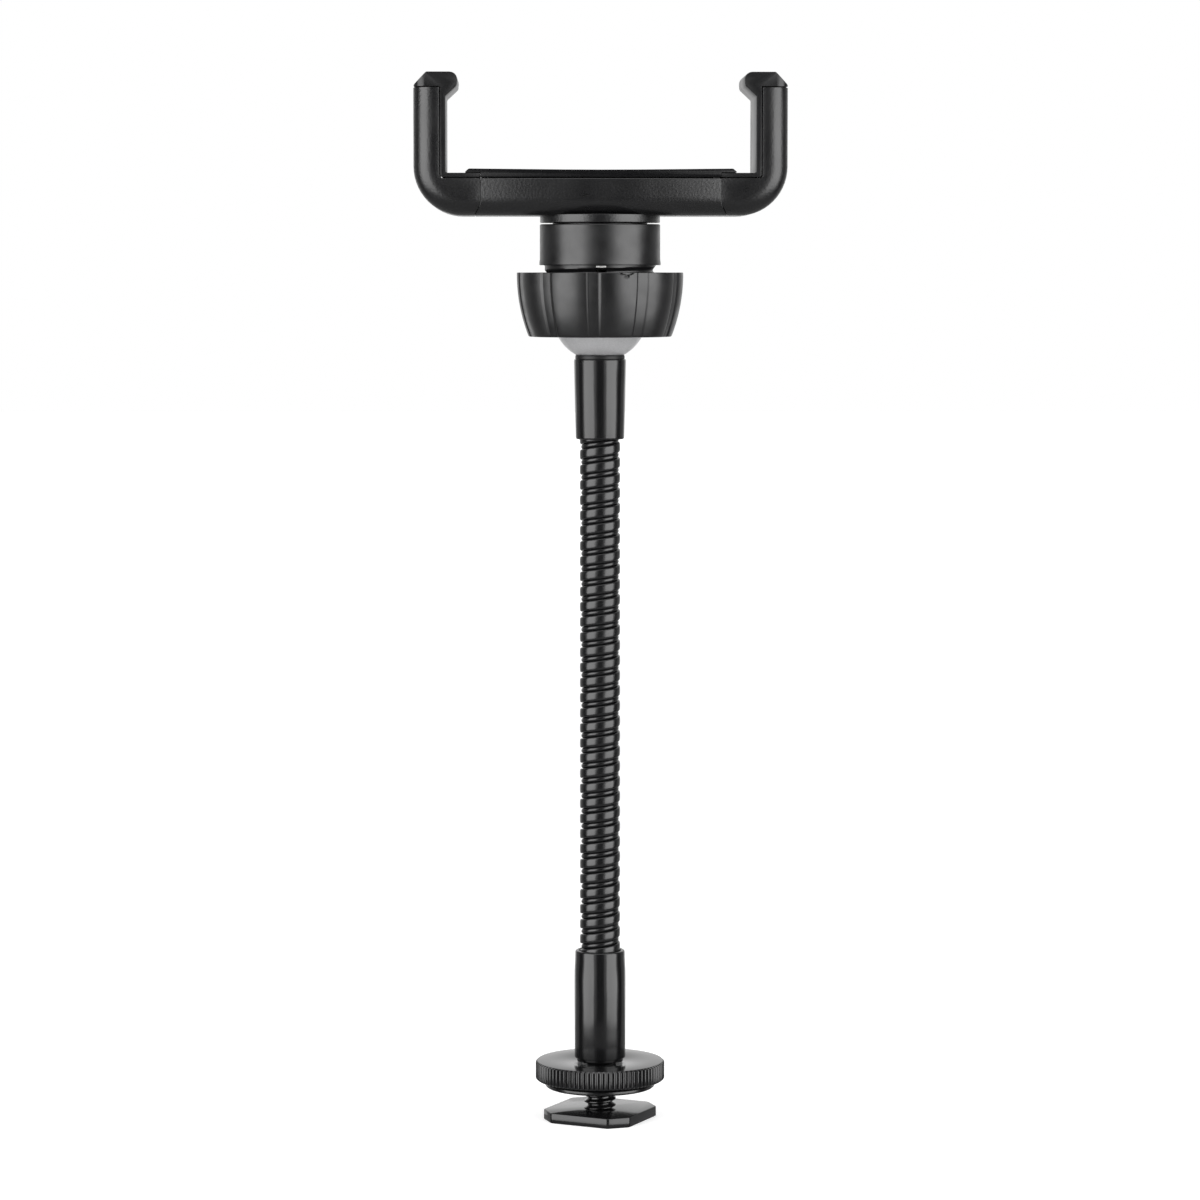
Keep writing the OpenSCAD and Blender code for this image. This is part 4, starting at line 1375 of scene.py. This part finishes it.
@dataclass(frozen=True)
class Card:
    """A card that shows only in reflections, black or with a grey glow. Lengths are metres."""

    name: str
    place: Matrix
    width: float
    height: float = 2.4
    glow: float = 0.0
    black: float = 0.01

    def build(self) -> None:
        """Builds the card."""
        bm = bmesh.new()
        bmesh.ops.create_grid(bm, x_segments=1, y_segments=1, size=0.5)
        bmesh.ops.scale(bm, vec=(self.width, self.height, 1), verts=list(bm.verts))
        bmesh.ops.transform(bm, matrix=self.place, verts=list(bm.verts))
        card = stage_sheet(bm, self.name, self._material())
        card.visible_camera = card.visible_diffuse = card.visible_shadow = False
        card.visible_transmission = False

    def _material(self) -> bpy.types.Material:
        """Makes the card's dull black, with its glow.

        Returns:
            The material.
        """
        made = bpy.data.materials.new(self.name)
        made.use_nodes = True
        shader = made.node_tree.nodes["Principled BSDF"]
        shader.inputs["Base Color"].default_value = (self.black, self.black, self.black, 1)
        shader.inputs["Roughness"].default_value = 1.0
        shader.inputs["Emission Color"].default_value = (1, 1, 1, 1)
        shader.inputs["Emission Strength"].default_value = self.glow
        return made


def stage_sheet(bm: bmesh.types.BMesh, name: str,
                material: bpy.types.Material) -> bpy.types.Object:
    """Makes a flat sheet of the studio.

    Args:
        bm: its shape, in metres, which is used up.
        name: its name.
        material: what it is made of.

    Returns:
        The sheet, which isn't part of the object.
    """
    mesh = bpy.data.meshes.new(name)
    bm.to_mesh(mesh)
    bm.free()
    mesh.materials.append(material)
    sheet = bpy.data.objects.new(name, mesh)
    bpy.context.scene.collection.objects.link(sheet)
    sheet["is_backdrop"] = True
    return sheet


def facing(azimuth: float, distance: float, height: float) -> Matrix:
    """Finds a place round the object, turned so that -Z looks at its axis.

    Args:
        azimuth: degrees round the object, 0 in front and 90 at its right.
        distance: metres from the axis.
        height: metres above the floor.

    Returns:
        The place.
    """
    turn = math.radians(azimuth)
    place = Vector((math.sin(turn) * distance, -math.cos(turn) * distance, height))
    look = Vector((-place.x, -place.y, 0)).to_track_quat("-Z", "Y")
    return Matrix.Translation(place) @ look.to_matrix().to_4x4()


@dataclass
class Studio:
    """Floor, white surroundings, lamps and camera. Eye and aim are millimetres, the rest metres."""

    eye: tuple[float, float, float] = (-15.4, -780.0, 164.5)
    aim: tuple[float, float, float] = (0.0, 0.0, 101.4)
    field: float = 16.86
    sensor: float = 36.0
    view_end: float = 20.0
    surround: float = 0.3
    softbox_azimuth: float = 54.0
    side_card: tuple[float, float, float] = (99.0, 0.7, 0.3)  # azimuth, distance and width
    grey_card: tuple[float, float, float] = (126.0, 0.95, 0.52)
    front_card: tuple[float, float, float] = (0.0, 1.3, 0.78)
    under_card: tuple[float, float] = (-0.35, 3.0)  # height and side
    grey_glow: float = 0.3
    card_height: float = 0.2
    top_power: float = 1.5
    top_size: float = 0.6
    top_place: tuple[float, float, float] = (0.0, -0.1, 0.95)
    floor_half: float = 4.0
    floor_colour: tuple[float, float, float, float] = (0.86, 0.86, 0.86, 1.0)
    floor_roughness: float = 0.8
    floor_glow: tuple[float, float] = (0.55, 1.0)
    floor_glow_at: tuple[float, float] = (0.45, 1.6)

    def build(self) -> None:
        """Builds the studio."""
        self._floor()
        self._world()
        for side in Side:
            out = side.value
            Softbox(f"{side.word}_softbox", self.softbox_azimuth * out).build()
            self._card(f"{side.word}_card", self.side_card, out)
            self._card(f"{side.word}_grey_card", self.grey_card, out, self.grey_glow)
        self._card("front_card", self.front_card)
        depth, width = self.under_card
        Card("under_card", Matrix.Translation((0, 0, depth)), width, width,
             self.grey_glow).build()
        self._top_fill()
        self._camera()

    def _card(self, name: str, size: tuple[float, float, float], out: int = 1,
              glow: float = 0.0) -> None:
        """Builds one upright card that faces the object.

        Args:
            name: its name.
            size: its azimuth, distance and width.
            out: -1 puts it on the left, 1 on the right.
            glow: how bright it is.
        """
        azimuth, distance, width = size
        place = facing(azimuth * out, distance, self.card_height)
        Card(name, place, width, glow=glow).build()

    @staticmethod
    def _seen(tree: bpy.types.NodeTree) -> bpy.types.NodeSocket:
        """Asks what kind of ray it is.

        Args:
            tree: the node tree of the material or the world.

        Returns:
            A value of 1 on rays of the camera, of reflections and through clear material.
        """
        path = tree.nodes.new("ShaderNodeLightPath")
        first = tree.nodes.new("ShaderNodeMath")
        first.operation = "MAXIMUM"
        tree.links.new(path.outputs["Is Camera Ray"], first.inputs[0])
        tree.links.new(path.outputs["Is Glossy Ray"], first.inputs[1])
        both = tree.nodes.new("ShaderNodeMath")
        both.operation = "MAXIMUM"
        tree.links.new(first.outputs[0], both.inputs[0])
        tree.links.new(path.outputs["Is Transmission Ray"], both.inputs[1])
        return both.outputs[0]

    def _floor(self) -> None:
        """Builds the pale floor. Reflections don't see it."""
        bm = bmesh.new()
        bmesh.ops.create_grid(bm, x_segments=1, y_segments=1, size=self.floor_half)
        floor = stage_sheet(bm, "floor", self._floor_material())
        floor.visible_glossy = False

    def _floor_material(self) -> bpy.types.Material:
        """Makes the floor's material, which glows to white away from the object.

        Returns:
            The material.
        """
        made = bpy.data.materials.new("pale_floor")
        made.use_nodes = True
        tree = made.node_tree
        shader = tree.nodes["Principled BSDF"]
        shader.inputs["Base Color"].default_value = self.floor_colour
        shader.inputs["Roughness"].default_value = self.floor_roughness
        shader.inputs["Emission Color"].default_value = (1, 1, 1, 1)
        far = tree.nodes.new("ShaderNodeVectorMath")
        far.operation = "LENGTH"
        place = tree.nodes.new("ShaderNodeTexCoord").outputs["Object"]
        tree.links.new(place, far.inputs[0])
        rise = tree.nodes.new("ShaderNodeMapRange")
        rise.inputs["From Min"].default_value = self.floor_glow_at[0]
        rise.inputs["From Max"].default_value = self.floor_glow_at[1]
        rise.inputs["To Min"].default_value = self.floor_glow[0]
        rise.inputs["To Max"].default_value = self.floor_glow[1]
        tree.links.new(far.outputs["Value"], rise.inputs["Value"])
        lift = tree.nodes.new("ShaderNodeMath")
        lift.operation = "MULTIPLY"
        tree.links.new(self._seen(tree), lift.inputs[0])
        tree.links.new(rise.outputs["Result"], lift.inputs[1])
        tree.links.new(lift.outputs[0], shader.inputs["Emission Strength"])
        return made

    def _world(self) -> None:
        """Builds the surroundings: white where they are seen, dimmer as a light."""
        world = bpy.data.worlds.new("white_surround")
        world.use_nodes = True
        bpy.context.scene.world = world
        tree = world.node_tree
        ground = tree.nodes["Background"]
        level = tree.nodes.new("ShaderNodeMapRange")
        level.inputs["To Min"].default_value = self.surround
        level.inputs["To Max"].default_value = 1.0
        tree.links.new(self._seen(tree), level.inputs["Value"])
        ground.inputs["Color"].default_value = (1, 1, 1, 1)
        tree.links.new(level.outputs["Result"], ground.inputs["Strength"])

    def _top_fill(self) -> None:
        """Builds the weak lamp above. The camera doesn't see it."""
        data = bpy.data.lights.new("top_fill", "AREA")
        data.size = self.top_size
        data.energy = self.top_power
        lamp = bpy.data.objects.new("top_fill", data)
        lamp.location = self.top_place
        lamp.visible_camera = False
        bpy.context.scene.collection.objects.link(lamp)

    def _camera(self) -> None:
        """Builds the camera where the photo's stood."""
        data = bpy.data.cameras.new("photo_camera")
        data.sensor_width = self.sensor
        data.lens = self.sensor / 2 / math.tan(math.radians(self.field / 2))
        data.clip_end = self.view_end
        camera = bpy.data.objects.new("photo_camera", data)
        camera.location = Vector(self.eye) * MM
        way = (Vector(self.aim) - Vector(self.eye)) * MM
        camera.rotation_euler = way.to_track_quat("-Z", "Y").to_euler()
        bpy.context.scene.collection.objects.link(camera)
        bpy.context.scene.camera = camera


def ball_centre() -> float:
    """Returns the height of the ball's centre, from which the head's heights are taken."""
    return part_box("ball")[1].z / MM - BallHead.ball_r


def note_bounds(when: str, found: dict[str, list[list[float]]]) -> None:
    """Args:
        when: what the time is called.
        found: the bounds noted so far.
    """
    low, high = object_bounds()
    found[when] = [[float(c) for c in low], [float(c) for c in high]]


def main() -> None:
    """Builds the whole scene."""
    logging.basicConfig(level=logging.INFO, format="%(message)s")
    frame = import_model()
    bounds: dict[str, list[list[float]]] = {}
    note_bounds("loaded", bounds)
    centre = ball_centre()
    clamp = Clamp(centre)
    parts = [ShoeFoot(), ThumbNut(), Gooseneck(), BallHead(centre), LockNut(centre), clamp]
    parts += [Jaw(side, clamp) for side in Side] + [ReturnSpring(side, centre) for side in Side]
    for part in parts:
        part.build()
        log.info("built %s", type(part).__name__)
    HiddenPieces(frame["nodes"]).dress()
    Studio().build()
    bpy.context.scene.view_settings.view_transform = "Standard"
    note_bounds("finished", bounds)


if __name__ == "__main__":
    main()
